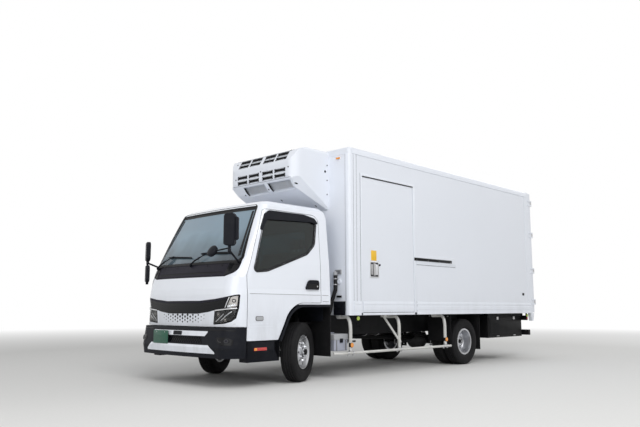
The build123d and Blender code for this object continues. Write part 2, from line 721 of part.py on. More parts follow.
def make_springs():
    front = spring_pair(0, 560, 490, BEAM_TOP + CONTACT)
    rear = spring_pair(WHEELBASE, 620, 505, AXLE_Z + 60)
    return Compound(children=[*both_sides(front).solids(), *both_sides(rear).solids()])


# Under the box
def make_battery_box():
    body = fillet(block((700, 950), (595, 865), (360, 580)).edges(), 12)
    tray = block((RAIL_HALF, 720), (620, 840), (560, 600))
    return body + tray


def make_fuel_tank():
    body = block((-900, -500), (950, 1750), (330, 650))
    body = fillet(body.edges().filter_by(Axis.Y), 70)
    straps = block((-520, -RAIL_HALF), (1050, 1100), (560, 700))
    straps += block((-520, -RAIL_HALF), (1600, 1650), (560, 700))
    return body + straps


def make_exhaust():
    body = rod((-650, 1950, 500), (-650, 2650, 500), 140)
    pipe = rod((-650, 2640, 500), (-650, 2900, 430), 35)
    hanger = block((-650, -RAIL_HALF), (2050, 2100), (560, 690))
    hanger += block((-650, -RAIL_HALF), (2500, 2550), (560, 690))
    return body + pipe + hanger


def make_side_guards():
    rail = bent_tube([(980, 560, GUARD_Z), (GUARD_X, 660, GUARD_Z), (GUARD_X, 3300, GUARD_Z)],
                     [60], 17)
    guard = rail
    for distance in GUARD_POSTS:
        guard += bent_tube([(GUARD_X, distance, GUARD_Z), (GUARD_X, distance, 740),
                            (900, distance, 815)], [90], 19)
        guard += block((870, 930), (distance - 30, distance + 30), (795, BOX_BOTTOM))
    guard += rod((GUARD_X, GUARD_POSTS[1], 480), (930, GUARD_POSTS[1] - 230, 815), 14)
    guard += block((905, 955), (GUARD_POSTS[1] - 260, GUARD_POSTS[1] - 200), (795, BOX_BOTTOM))
    return both_sides(guard)


def make_mud_flaps():
    twins = (REAR_TRACK / 2 - (TWIN_SPACING + TYRE_WIDTH) / 2,
             REAR_TRACK / 2 + (TWIN_SPACING + TYRE_WIDTH) / 2 + 10)
    behind = WHEELBASE + TYRE_RADIUS + FLAP_GAP
    ahead = WHEELBASE - TYRE_RADIUS - FLAP_GAP
    rear = block(twins, (behind, behind + FLAP_THICK), (230, BOX_BOTTOM))
    front = block(twins, (ahead - FLAP_THICK, ahead), (400, BOX_BOTTOM))
    cab_back = (CAB_REAR + 2, CAB_REAR + 2 + FLAP_THICK)
    cab = block((640, CAB_HALF - 7), cab_back, (300, 985))
    hanger = block((RAIL_HALF, 660), cab_back, (640, 720))
    shapes = [rear, front, cab + hanger]
    return Compound(children=[s for shape in shapes for s in both_sides(shape).solids()])


def make_stowage_box():
    body = fillet(block((480, BOX_HALF - 198), (4720, 5990), (400, 790)).edges(), 10)
    straps = block((600, 640), (4900, 5000), (780, BOX_BOTTOM))
    straps += block((600, 640), (5700, 5800), (780, BOX_BOTTOM))
    return body + straps


def make_underrun():
    bar = fillet(block((98 - BOX_HALF, BOX_HALF - 98), (6070, 6140), (420, 520)).edges().filter_by(Axis.X), 12)
    arm = block((360, 410), (6000, 6075), (430, RAIL_TOP - RAIL_HEIGHT))
    return bar + arm + mirror(arm, Plane.YZ)


def make_tail_lamps():
    lamp = block((BOX_HALF - 338, BOX_HALF - 98), (6005, 6062), (700, 790))
    hanger = block((BOX_HALF - 238, BOX_HALF - 198), (6015, 6050), (780, BOX_BOTTOM))
    return both_sides(fillet(lamp.edges(), 8) + hanger)


# Cargo box
WALL_IN = BOX_HALF - BOX_WALL
WALL_LOW = BOX_BOTTOM
WALL_HIGH = BOX_TOP - BOX_ROOF
FRAME_FRONT = BOX_REAR - REAR_DOOR - REAR_DOOR_GAP - REAR_FRAME_DEPTH
FRAME_BACK = FRAME_FRONT + REAR_FRAME_DEPTH


def make_box_floor():
    return block((-WALL_IN, WALL_IN), (BOX_FRONT + BOX_POST, FRAME_FRONT),
                 (BOX_BOTTOM, BOX_BOTTOM + BOX_FLOOR))


def make_side_wall():
    return block((WALL_IN, BOX_HALF), (BOX_FRONT + BOX_POST, FRAME_FRONT), (WALL_LOW, WALL_HIGH))


def make_left_wall():
    return make_side_wall() - block((WALL_IN - 1, BOX_HALF + 1),
                                    (SIDE_DOOR_FRONT, SIDE_DOOR_REAR),
                                    (SIDE_DOOR_LOW, SIDE_DOOR_HIGH))


def make_side_door():
    leaf = block((WALL_IN + CONTACT, BOX_HALF - 2),
                 (SIDE_DOOR_FRONT + SIDE_DOOR_GAP, SIDE_DOOR_REAR - SIDE_DOOR_GAP),
                 (SIDE_DOOR_LOW + SIDE_DOOR_GAP, SIDE_DOOR_HIGH - SIDE_DOOR_GAP))
    return leaf


def make_side_door_gear():
    """The latch plate with its handle, and the slide rail behind the door."""
    plate = block((BOX_HALF - 2, BOX_HALF + 4), (1180, 1380), (1362, 1595))
    handle = block((BOX_HALF + 4, BOX_HALF + 22), (1252, 1292), (1400, 1555))
    rail = block((BOX_HALF, BOX_HALF + 10), (SIDE_DOOR_REAR + 10, 3271), (1655, 1700))
    return Compound(children=[*(plate + handle).solids(), *rail.solids()])


def make_front_wall():
    wall = block((-BOX_HALF, BOX_HALF), (BOX_FRONT, BOX_FRONT + BOX_POST), (BOX_BOTTOM, WALL_HIGH))
    return fillet(wall.edges().filter_by(Axis.Z).sort_by(Axis.Y)[:2], BOX_POST_ROUND)


def make_box_roof():
    roof = block((-BOX_HALF, BOX_HALF), (BOX_FRONT, FRAME_FRONT), (WALL_HIGH, BOX_TOP))
    corners = roof.edges().filter_by(Axis.Z).sort_by(Axis.Y)[:2]
    roof = fillet(corners, BOX_POST_ROUND)
    return chamfer(roof.faces().sort_by(Axis.Z)[-1].edges().filter_by(Axis.Y), 12)


def make_rear_frame():
    """Header and sill of the rear opening, between its posts."""
    inner = BOX_HALF - FRAME_POST
    sill = block((-inner, inner), (FRAME_FRONT, FRAME_BACK), (BOX_BOTTOM, BOX_BOTTOM + BOX_FLOOR))
    header = block((-inner, inner), (FRAME_FRONT, FRAME_BACK), (BOX_TOP - FRAME_HEADER, BOX_TOP))
    return Compound(children=[sill.solid(), header.solid()])


def make_rear_posts():
    """Corner posts with their feet and the fixed halves of the hinges."""
    post = block((BOX_HALF - FRAME_POST, BOX_HALF), (FRAME_FRONT, FRAME_BACK),
                 (BOX_BOTTOM, BOX_TOP))
    foot = side_face([(FRAME_FRONT, BOX_BOTTOM), (FRAME_BACK, BOX_BOTTOM), (FRAME_BACK, 690),
                      (FRAME_BACK - 45, 690)])
    post += side_prism(foot, (BOX_HALF - 60, BOX_HALF))
    pin = BOX_REAR + REAR_PIN_BACK
    for z in REAR_HINGES:
        for middle in (z - HINGE_STEP, z + HINGE_STEP):
            post += Pos(REAR_PIN_X, along(pin), middle) * Cylinder(REAR_KNUCKLE, HINGE_FIXED)
            post += block((BOX_HALF, BOX_HALF + 8), (FRAME_BACK - 30, pin),
                          (middle - HINGE_FIXED / 2, middle + HINGE_FIXED / 2))
    return both_sides(post)


# low x, high x of the slots' columns; distance, z of each row's middle; louvre z
SLOT_COLUMNS = [(-488, -285), (-236, -25), (60, 270), (318, 528)]
SLOT_ROWS = [(110, 3070), (85, 3004), (50, 2832), (50, 2756)]
SLOT_HEIGHT = 40
LOUVRE_COLUMNS = [(-400, 60), (130, 590)]


def make_unit():
    """Housing on the front wall: bowed side profile, rounded plan, bevelled lower corners."""
    profile = side_face(
        [(BOX_FRONT, UNIT_TOP), (330, UNIT_TOP), (150, UNIT_TOP - 58), (UNIT_FRONT, 2960),
         (UNIT_FRONT, 2725), (170, 2590), (BOX_FRONT, UNIT_BOTTOM)],
        [1, 90, 90, 120, 90, 120, 1])
    body = side_prism(profile, (-UNIT_HALF, UNIT_HALF))
    front, back = along(UNIT_FRONT), along(BOX_FRONT + 20)
    lean = UNIT_ROUND * (1 - sin(radians(45)))
    side_start, front_start = front + UNIT_ROUND, UNIT_HALF - UNIT_ROUND
    plan = make_face([
        Line((-UNIT_HALF, back), (UNIT_HALF, back)),
        Line((UNIT_HALF, back), (UNIT_HALF, side_start)),
        ThreePointArc((UNIT_HALF, side_start), (UNIT_HALF - lean, front + lean),
                      (front_start, front)),
        Line((front_start, front), (-front_start, front)),
        ThreePointArc((-front_start, front), (lean - UNIT_HALF, front + lean),
                      (-UNIT_HALF, side_start)),
        Line((-UNIT_HALF, side_start), (-UNIT_HALF, back))])
    body &= Pos(0, 0, UNIT_BOTTOM - 50) * extrude(plan, UNIT_TOP - UNIT_BOTTOM + 100)
    elevation = front_face([(-UNIT_HALF, UNIT_BOTTOM - 1), (UNIT_HALF, UNIT_BOTTOM - 1),
                            (UNIT_HALF, UNIT_TOP + 1), (-UNIT_HALF, UNIT_TOP + 1)],
                           [40, 40, 55, 55])
    body &= front_prism(elevation, (UNIT_FRONT - 10, BOX_FRONT))
    bevel = front_face([(UNIT_HALF + 100, UNIT_LIP + 150), (UNIT_HALF - 700, UNIT_LIP - 1050),
                        (UNIT_HALF + 100, UNIT_LIP - 1050)])
    start = Plane.XZ.offset(-along(UNIT_FRONT - 100)) * bevel
    wedge = extrude(Pos(0, 0, UNIT_BEVEL_FALL) * start, 1100, dir=(0, 1, -UNIT_BEVEL_FALL / 100))
    body -= wedge
    body -= mirror(wedge, Plane.YZ)
    for low, high in SLOT_COLUMNS:
        for behind, z in SLOT_ROWS:
            body -= block((low, high), (UNIT_FRONT - 50, behind + UNIT_SLOT_DEPTH + 12),
                          (z - SLOT_HEIGHT / 2, z + SLOT_HEIGHT / 2))
    louvre = side_face([(60, 2690), (150, 2690), (230, 2600), (190, 2520)])
    for low, high in LOUVRE_COLUMNS:
        body -= side_prism(louvre, (low, high))
    return largest(body)


def make_evaporator():
    """The fan housing on the inner side of the front wall."""
    inner = BOX_FRONT + BOX_POST
    profile = side_face([(inner, 3060), (inner + 420, 3060), (inner + 420, 2960),
                         (inner + 300, 2720), (inner, 2640)])
    return side_prism(profile, (-600, 600))


def make_unit_hose():
    """Drain and gas hose, clipped down the front wall to the frame."""
    front = BOX_FRONT - HOSE_RADIUS - CONTACT
    return bent_tube([(HOSE_X, front, 1420), (HOSE_X, front, 1180), (HOSE_X - 70, front, 1020),
                      (HOSE_X - 100, front - 10, 860), (HOSE_X - 260, front - 30, 780),
                      (RAIL_HALF + HOSE_RADIUS, front - 30, 700)],
                     [110, 110, 70, 60], HOSE_RADIUS)


DOOR_OUT_X = BOX_HALF - 4


def make_rear_door():
    """Left leaf: slanted free edge, square outer edge beside the pin."""
    front = FRAME_BACK + REAR_DOOR_GAP
    back = front + REAR_DOOR
    plan = make_face(Polyline((REAR_CENTRE_IN, along(front)), (DOOR_OUT_X, along(front)),
                              (DOOR_OUT_X, along(back)), (REAR_CENTRE_OUT, along(back)),
                              close=True))
    leaf = Pos(0, 0, REAR_DOOR_LOW) * extrude(plan, REAR_DOOR_HIGH - REAR_DOOR_LOW)
    return leaf


def make_rear_door_gear():
    """Left leaf's hinge straps, lock rods and handles."""
    face = BOX_REAR
    pin = face + REAR_PIN_BACK
    gear = None
    for z in REAR_HINGES:
        tall = (z - HINGE_MOVING / 2, z + HINGE_MOVING / 2)
        strap = block((REAR_PIN_X - 260, REAR_PIN_X), (face, face + 6), tall)
        lug = block((REAR_PIN_X - 10, REAR_PIN_X + 6), (face, pin), tall)
        barrel = Pos(REAR_PIN_X, along(pin), z) * Cylinder(REAR_KNUCKLE, HINGE_MOVING)
        strap += lug + barrel
        gear = strap if gear is None else gear + strap
    for x in LOCK_ROD_X:
        bar = Pos(x, along(face + 16), (REAR_DOOR_LOW + REAR_DOOR_HIGH) / 2) * Cylinder(
            11, REAR_DOOR_HIGH - REAR_DOOR_LOW - 20)
        for z in LOCK_GUIDES:
            bar += block((x - 30, x + 30), (face, face + 12), (z - 25, z + 25))
        bar += block((x, x + 300), (face + 12, face + 24), (1250, 1280))
        gear += bar
    return gear


def put(name, shape):
    """Write one sub-part."""
    export_step(shape, "parts/" + name + ".step")


def main():
    os.makedirs("parts", exist_ok=True)
    door = make_cab_door()
    door_glass = make_door_glass()
    fittings = make_door_fittings()
    front_rim = make_front_rim()
    front_tyre = wheel_ring(TYRE_PROFILE, FRONT_TRACK / 2, 0)
    rear_rims = make_rear_rims()
    rear_tyres = make_rear_tyres()
    rear_door = make_rear_door()
    rear_gear = make_rear_door_gear()
    pieces = {
        "cab_shell": make_cab_shell(),
        "cab_glass": make_cab_glass(),
        "cowl_panel": make_cowl(),
        "front_bumper": make_bumper(),
        "bumper_bars": make_bumper_bars(),
        "grille": make_grille(),
        "headlamps": make_headlamps(),
        "dashboard": make_dashboard(),
        "steering_wheel": make_steering_wheel(),
        "seats": Compound(children=[solid for row in SEATS for solid in make_seat(*row).solids()]),
        "mirrors": make_mirrors(),
        "step_and_arch_trims": make_trims(),
        "frame": make_frame(),
        "subframe": make_subframe(),
        "engine_block": make_engine(),
        "driveshaft": make_driveshaft(),
        "front_axle": make_front_axle(),
        "rear_axle": make_rear_axle(),
        "leaf_springs": make_springs(),
        "knuckle_left": make_knuckle(1),
        "knuckle_right": make_knuckle(-1),
        "battery_box": make_battery_box(),
        "fuel_tank": make_fuel_tank(),
        "exhaust": make_exhaust(),
        "side_guards": make_side_guards(),
        "mud_flaps": make_mud_flaps(),
        "stowage_box": make_stowage_box(),
        "rear_underrun": make_underrun(),
        "tail_lamps": make_tail_lamps(),
        "box_floor": make_box_floor(),
        "box_wall_left": make_left_wall(),
        "box_wall_right": mirror(make_side_wall(), Plane.YZ),
        "box_front_wall": make_front_wall(),
        "box_roof": make_box_roof(),
        "box_rear_frame": make_rear_frame(),
        "box_rear_posts": make_rear_posts(),
        "side_door": make_side_door(),
        "side_door_gear": make_side_door_gear(),
        "refrigeration_unit": make_unit(),
        "evaporator": make_evaporator(),
        "unit_hose": make_unit_hose(),
    }
    for side, name in ((1, "left"), (-1, "right")):
        turn = (lambda shape: shape) if side > 0 else (lambda shape: mirror(shape, Plane.YZ))
        pieces["cab_door_" + name] = turn(door)
        pieces["door_glass_" + name] = turn(door_glass)
        pieces["door_fittings_" + name] = turn(fittings)
        pieces["front_rim_" + name] = steered(turn(front_rim), side)
        pieces["front_tyre_" + name] = steered(turn(front_tyre), side)
        pieces["rear_rims_" + name] = turn(rear_rims)
        pieces["rear_tyres_" + name] = turn(rear_tyres)
        pieces["rear_door_" + name] = turn(rear_door)
        pieces["rear_door_gear_" + name] = turn(rear_gear)
    for name, shape in pieces.items():
        put(name, shape)


main()
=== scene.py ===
"""Finishes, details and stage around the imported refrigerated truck, laid out as an add-on."""
import math

import bmesh
import bpy
from mathutils import Matrix, Vector
from mathutils.bvhtree import BVHTree


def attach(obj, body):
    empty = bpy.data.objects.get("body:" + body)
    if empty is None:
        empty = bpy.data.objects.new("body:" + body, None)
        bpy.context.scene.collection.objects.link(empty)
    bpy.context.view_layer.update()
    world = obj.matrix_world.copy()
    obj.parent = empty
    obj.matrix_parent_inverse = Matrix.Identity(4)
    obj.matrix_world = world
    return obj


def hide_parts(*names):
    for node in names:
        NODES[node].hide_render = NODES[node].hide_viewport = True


bl_info = {
    "name": "Refrigerated truck looks",
    "version": (1, 0, 0),
    "blender": (4, 5, 0),
    "location": "3D View > Sidebar > Truck",
    "description": "Dresses the packed refrigerated truck with finishes, details and a stage",
    "category": "Object",
}

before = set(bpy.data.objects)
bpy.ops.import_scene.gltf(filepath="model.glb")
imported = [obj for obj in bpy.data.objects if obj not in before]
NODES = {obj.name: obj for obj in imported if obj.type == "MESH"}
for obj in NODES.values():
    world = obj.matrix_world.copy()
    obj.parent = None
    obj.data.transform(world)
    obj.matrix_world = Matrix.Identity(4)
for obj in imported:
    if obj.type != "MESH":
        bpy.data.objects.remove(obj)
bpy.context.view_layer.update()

# Places that the details share with the CAD model, in metres
AXLE_Y = -2.4775
REAR_AXLE = 3.795
WHEEL_Z = 0.3775
FRONT_WHEEL_X = 0.8325
REAR_WHEEL_X = 0.78
TWIN_SHIFT = 0.1175
KINGPIN_X = 0.755
STEER = math.radians(24)
BOX_SIDE = 1.098
BOX_NOSE = 0.755
BOX_TAIL = 5.999
SIDES = ((1, "left"), (-1, "right"))


def along(behind):
    """Y of a place that lies this far behind the front axle."""
    return behind + AXLE_Y


def at(x, behind, z):
    """The point at x and height z that lies this far behind the front axle."""
    return Vector((x, along(behind), z))


def moved(x, y, z):
    return Matrix.Translation((x, y, z))


def placed(place):
    """The frame at (x, behind, height)."""
    return Matrix.Translation(at(*place))


def turned(angle, axis):
    return Matrix.Rotation(angle, 4, axis)


# Finishes

class Value:
    """A shader value, on which Python's operators add Math nodes."""

    def __init__(self, finish, socket):
        self.finish = finish
        self.socket = socket

    def math(self, operation, *others):
        return self.finish.node("ShaderNodeMath", {"operation": operation}, [self, *others])

    def __add__(self, other):
        return self.math("ADD", other)

    def __mul__(self, other):
        return self.math("MULTIPLY", other)

    def __sub__(self, other):
        return self.math("SUBTRACT", other)

    def __rsub__(self, other):
        return self.finish.node("ShaderNodeMath", {"operation": "SUBTRACT"}, [other, self])

    __radd__ = __add__
    __rmul__ = __mul__

    def ramp(self, low, high):
        """0 at low, 1 at high, held beyond both."""
        return self.finish.node("ShaderNodeMapRange", {"clamp": True}, [self, low, high, 0.0, 1.0])


class Finish:
    """A node material in the making."""

    def __init__(self, name):
        self.material = bpy.data.materials.new(name)
        self.material.use_nodes = True
        self.tree = self.material.node_tree
        self.tree.nodes.clear()

    def node(self, kind, settings=None, inputs=None, output=0):
        """Any node: its settings first, then its sockets' values or links."""
        node = self.tree.nodes.new(kind)
        for key, value in (settings or {}).items():
            setattr(node, key, value)
        if isinstance(inputs, list):
            inputs = dict(enumerate(inputs))
        for key, value in (inputs or {}).items():
            if isinstance(value, Value):
                self.tree.links.new(value.socket, node.inputs[key])
            else:
                node.inputs[key].default_value = value
        return Value(self, node.outputs[output]) if len(node.outputs) else None

    def place(self, scale=(1, 1, 1), turn=(0, 0, 0)):
        """Object coordinates, scaled and turned."""
        where = self.node("ShaderNodeTexCoord", output="Object")
        return self.node("ShaderNodeMapping",
                         inputs={"Vector": where, "Scale": scale, "Rotation": turn})

    def axes(self):
        """The X, Y and Z of the surface point."""
        where = self.node("ShaderNodeTexCoord", output="Object")
        split = self.node("ShaderNodeSeparateXYZ", inputs=[where]).socket.node
        return [Value(self, split.outputs[i]) for i in range(3)]

    def noise(self, scale, detail=3.0, rough=0.55, stretch=(1, 1, 1)):
        return self.node("ShaderNodeTexNoise", {}, {
            "Vector": self.place(stretch), "Scale": scale, "Detail": detail, "Roughness": rough})

    def mix(self, factor, first, second):
        """A blend of two colours by a factor."""
        return self.node("ShaderNodeMix", {"data_type": "RGBA", "clamp_factor": True},
                         {0: factor, 6: first, 7: second}, output=2)

    def bump(self, height, distance):
        return self.node("ShaderNodeBump", {},
                         {"Height": height, "Distance": distance, "Strength": 1.0})

    def voronoi(self, feature, scale):
        return self.node("ShaderNodeTexVoronoi", {"feature": feature},
                         {"Vector": self.place(), "Scale": scale})

    def clouded(self, colour, cloud, vary):
        """A colour a little darker and lighter by a cloud."""
        return self.mix(cloud, tone(colour, 1 - vary), tone(colour, 1 + vary))

    def surface(self, **sockets):
        """The Principled shader and the output; names are the sockets' own, with underscores."""
        inputs = {key.replace("_", " "): value for key, value in sockets.items()}
        return self.shown(self.node("ShaderNodeBsdfPrincipled", {}, inputs))

    def shown(self, shader):
        self.node("ShaderNodeOutputMaterial", {}, {"Surface": shader})
        return self.material


def tone(colour, factor=1.0):
    """A colour with its alpha, lightened or darkened."""
    return (colour[0] * factor, colour[1] * factor, colour[2] * factor, 1.0)


def paint(name, colour, rough=0.28, coat=0.6, vary=0.03, grime=0.0, metal=0.0, peel=0.0, shine=0.5):
    """Sprayed paint: faint clouding, an uneven gloss, road grime towards the ground."""
    finish = Finish(name)
    cloud = finish.noise(0.9, 4.0)
    fine = finish.noise(38.0, 3.0)
    base = finish.clouded(colour, cloud, vary)
    roughness = rough + (fine - 0.5) * 0.12
    if grime > 0:
        height = finish.axes()[2]
        low = 1.0 - height.ramp(0.25, 1.25)
        streaks = finish.noise(5.0, 5.0, 0.6, (1, 1, 0.25))
        dirt = low * streaks.ramp(0.42, 0.75) * grime
        base = finish.mix(dirt, base, (0.19, 0.175, 0.15, 1))
        roughness = roughness + dirt * 0.4
    sockets = {"Base_Color": base, "Roughness": roughness, "Metallic": metal, "Coat_Weight": coat,
               "Coat_Roughness": 0.06, "Specular_IOR_Level": shine}
    if peel > 0:
        sockets["Normal"] = finish.bump(finish.noise(160.0, 2.0), peel)
    return finish.surface(**sockets)


def plastic(name, colour, rough=0.5, grain=0.00035):
    """Moulded plastic with a fine grain and a little dust in it."""
    finish = Finish(name)
    leather = finish.voronoi("DISTANCE_TO_EDGE", 300.0)
    cloud = finish.noise(4.0, 4.0)
    base = finish.clouded(colour, cloud, 0.08)
    dusty = finish.noise(11.0, 6.0, 0.65).ramp(0.5, 0.8) * 0.02
    base = finish.mix(dusty, base, (0.3, 0.29, 0.27, 1))
    return finish.surface(Base_Color=base, Roughness=rough + cloud * 0.12, Specular_IOR_Level=0.14,
                          Normal=finish.bump(leather, grain))


def metal(name, colour, rough=0.35, brushed=(1, 1, 1), vary=0.12, rust=0.0):
    """Bare, plated or cast metal with a drawn or cast grain."""
    finish = Finish(name)
    grain = finish.noise(60.0, 4.0, 0.6, brushed)
    cloud = finish.noise(3.5, 5.0)
    base = finish.clouded(colour, cloud, vary)
    metallic = 1.0
    roughness = rough + grain * 0.2
    if rust > 0:
        spots = finish.noise(14.0, 8.0, 0.7).ramp(1 - rust * 0.6, 1.0 - rust * 0.3)
        base = finish.mix(spots, base, (0.13, 0.06, 0.03, 1))
        metallic = 1.0 - spots
        roughness = roughness + spots * 0.3
    return finish.surface(Base_Color=base, Roughness=roughness, Metallic=metallic,
                          Normal=finish.bump(grain, 0.0002))


def clear(name, colour, painted_reflection_share=0.0, low=None):
    """Glass or a clear lens with a faint rough film. The given share of its light is opaque colour,
    a painted reflection; low, where given, darkens its foot as painted shade.
    """
    finish = Finish(name)
    base = tone(colour)
    # Painted shade: the colour turns to low towards the foot.
    if low is not None:
        rise = finish.axes()[2] + (finish.noise(2.0, 2.0) - 0.5) * 0.5
        base = finish.mix(rise.ramp(1.4, 1.95), tone(low), base)
    film = finish.noise(2.5, 5.0, 0.6).ramp(0.45, 0.95) * 0.05
    # The share that is not let through shows the base colour as a painted reflection.
    return finish.surface(Base_Color=base, Roughness=film, IOR=1.45, Transmission_Weight=1.0 - painted_reflection_share)


def lens(name, colour):
    """A coloured moulded lens with optic cells and a faint painted glow."""
    finish = Finish(name)
    cells = finish.voronoi("F1", 220.0)
    base = finish.mix(cells, tone(colour, 1.15), tone(colour, 0.55))
    # The emission in the lens's own colour is a painted glow: no lamp behind it is lit.
    return finish.surface(Base_Color=base, Roughness=0.12, Coat_Weight=1.0, Coat_Roughness=0.03,
                          Normal=finish.bump(cells, 0.0012), Emission_Color=base,
                          Emission_Strength=0.12)


def rubber(name, colour, rough, dust):
    """Rubber with a fine grain and a bloom of dust."""
    finish = Finish(name)
    cloud = finish.noise(7.0, 6.0, 0.65)
    base = finish.mix(cloud.ramp(0.45, 0.85) * dust, tone(colour), (0.16, 0.15, 0.135, 1))
    fine = finish.noise(240.0, 3.0)
    return finish.surface(Base_Color=base, Roughness=rough + (fine - 0.5) * 0.2,
                          Specular_IOR_Level=0.2, Normal=finish.bump(fine, 0.0006))


def cloth(name, colour, second):
    """Woven seat cloth."""
    finish = Finish(name)
    threads = [finish.node("ShaderNodeTexWave", {"bands_direction": axis, "wave_profile": "SIN"},
                           {"Vector": finish.place(turn=turn), "Scale": 70.0, "Distortion": 0.6})
               for axis, turn in (("X", (0, 0, 0.6)), ("Z", (0.5, 0, 0)))]
    weave = threads[0] * threads[1]
    base = finish.mix(weave, tone(colour), tone(second))
    return finish.surface(Base_Color=base, Roughness=0.92, Sheen_Weight=0.25,
                          Normal=finish.bump(weave, 0.0008))


def make_finishes(looks):
    """Every material of the truck, under the name that its pieces use."""
    white = tuple(looks.paint_colour)
    black = tuple(looks.plastic_colour)
    finishes.update({
        "white": paint("cab paint", white, 0.2, 0.9, 0.012, 0.35, peel=0.0001),
        "box_white": paint("box panel paint", tone(white, 0.97), 0.3, 0.45, 0.015, 0.25,
                           peel=0.00015),
        "unit_white": paint("cooler housing", tone(white, 0.98), 0.32, 0.3, 0.015, 0.0,
                            peel=0.00025),
        "box_trim": paint("white anodised trim", white, 0.32, 0.3, 0.02, 0.3),
        "silver": paint("wheel paint", (0.6, 0.61, 0.64), 0.27, 0.2, 0.05, 0.4, metal=0.85),
        # Darker than the black paint itself: painted shade for the underbody and for every part in
        # this finish.
        "chassis": paint("chassis paint darkened as painted shade", (0.006, 0.0063, 0.0075), 0.5, 0.02, 0.2, 0.06,
                         shine=0.12),
        "guard": paint("guard tube paint", (0.62, 0.62, 0.6), 0.38, 0.2, 0.06, 0.4),
        "black_gloss": paint("gloss black moulding", (0.004, 0.0042, 0.0055), 0.22, 0.04, 0.1,
                             shine=0.2),
        "black": plastic("grained black moulding", black, 0.42),
        "cowl": plastic("screen cowl moulding", (0.013, 0.012, 0.02), 0.42, 0.0003),
        "seal": rubber("window seal", (0.007, 0.007, 0.008), 0.5, dust=0.03),
        "grey": plastic("light grey moulding", (0.42, 0.43, 0.45), 0.45),
        "trim_grey": plastic("cab trim", (0.2, 0.2, 0.205), 0.6, 0.0004),
        "trim_dark": plastic("dash moulding", (0.05, 0.05, 0.054), 0.55, 0.0004),
        "battery": plastic("battery cover", (0.40, 0.42, 0.5), 0.4, 0.0003),
        "tyre": rubber("tyre rubber", (0.008, 0.008, 0.009), 0.78, dust=0.05),
        "hose": rubber("hose rubber", (0.02, 0.02, 0.022), 0.55, dust=0.1),
        "flap": rubber("mud flap rubber", (0.006, 0.006, 0.007), 0.7, dust=0.05),
        "steel": metal("plated steel", (0.55, 0.55, 0.56), 0.3),
        "bright": metal("bright plating", (0.85, 0.86, 0.88), 0.08, vary=0.03),
        "alloy": metal("drawn aluminium", (0.78, 0.79, 0.81), 0.32, (1, 0.04, 1), 0.04),
        "cast": metal("cast iron", (0.09, 0.09, 0.092), 0.6, vary=0.25, rust=0.35),
        "exhaust": metal("exhaust steel", (0.3, 0.29, 0.28), 0.45, vary=0.2, rust=0.45),
        "floor_metal": metal("load floor aluminium", (0.6, 0.61, 0.62), 0.38, (1, 0.05, 1), 0.06),
        "glass": clear("side glass", (0.1, 0.19, 0.18)),
        # Half opaque blue-grey as a painted reflection, darker at its foot as painted shade.
        "screen": clear("windscreen glass", (0.38, 0.52, 0.63), painted_reflection_share=0.5, low=(0.10, 0.125, 0.15)),
        # A real lining, kept near black as partly painted shade for the cab's inside.
        "lining": plastic("cab lining", (0.055, 0.056, 0.06), 0.7, 0.0004),
        "lens": clear("lamp lens", (0.96, 0.97, 0.98)),
        "mirror": metal("mirror glass", (0.8, 0.82, 0.84), 0.02, vary=0.01),
        "lamp_back": metal("lamp reflector", (0.5, 0.47, 0.44), 0.25, vary=0.2),
        "amber": lens("amber lens", (0.9, 0.32, 0.02)),
        "red": lens("red lens", (0.55, 0.02, 0.015)),
        "marker": lens("yellow-green lens", (0.45, 0.6, 0.05)),
        "plate": paint("green plate", tuple(looks.plate_colour), 0.4, 0.2, 0.04),
        "yellow": paint("yellow panel", (0.85, 0.5, 0.02), 0.4, 0.2, 0.04),
        "cloth": cloth("seat cloth", (0.045, 0.047, 0.052), (0.085, 0.088, 0.095)),
    })


NODE_FINISHES = {
    "white": ["cab_shell", "cab_door_left", "cab_door_right", "bumper_bars"],
    "screen": ["cab_glass"],
    "glass": ["door_glass_left", "door_glass_right"],
    "cowl": ["cowl_panel"],
    "black": ["front_bumper", "step_and_arch_trims", "mirrors", "door_fittings_left",
              "door_fittings_right"],
    "black_gloss": ["grille"],
    "lens": ["headlamps"],
    "trim_dark": ["dashboard", "steering_wheel"],
    "cloth": ["seats"],
    "chassis": ["frame", "subframe", "driveshaft", "leaf_springs", "fuel_tank", "stowage_box",
                "rear_underrun", "tail_lamps"],
    "cast": ["engine_block", "front_axle", "rear_axle", "knuckle_left", "knuckle_right"],
    "silver": ["front_rim_left", "front_rim_right", "rear_rims_left", "rear_rims_right"],
    "tyre": ["front_tyre_left", "front_tyre_right", "rear_tyres_left", "rear_tyres_right"],
    "battery": ["battery_box"],
    "exhaust": ["exhaust"],
    "guard": ["side_guards"],
    "flap": ["mud_flaps"],
    "box_white": ["box_wall_left", "box_wall_right", "box_roof", "side_door", "rear_door_left",
                  "rear_door_right"],
    "box_trim": ["box_front_wall", "box_rear_frame", "box_rear_posts"],
    "floor_metal": ["box_floor"],
    "steel": ["side_door_gear", "rear_door_gear_left", "rear_door_gear_right"],
    "unit_white": ["refrigeration_unit"],
    "grey": ["evaporator"],
    "hose": ["unit_hose"],
}

finishes = {}


def material(name):
    """A finish by its name. All are made on first use."""
    if not finishes:
        make_finishes(bpy.context.scene.truck_looks)
    return finishes[name]


def dress_nodes():
    """Give every CAD node its finish."""
    for key, names in NODE_FINISHES.items():
        for name in names:
            mesh = NODES[name].data
            mesh.materials.clear()
            mesh.materials.append(material(key))


# Stage

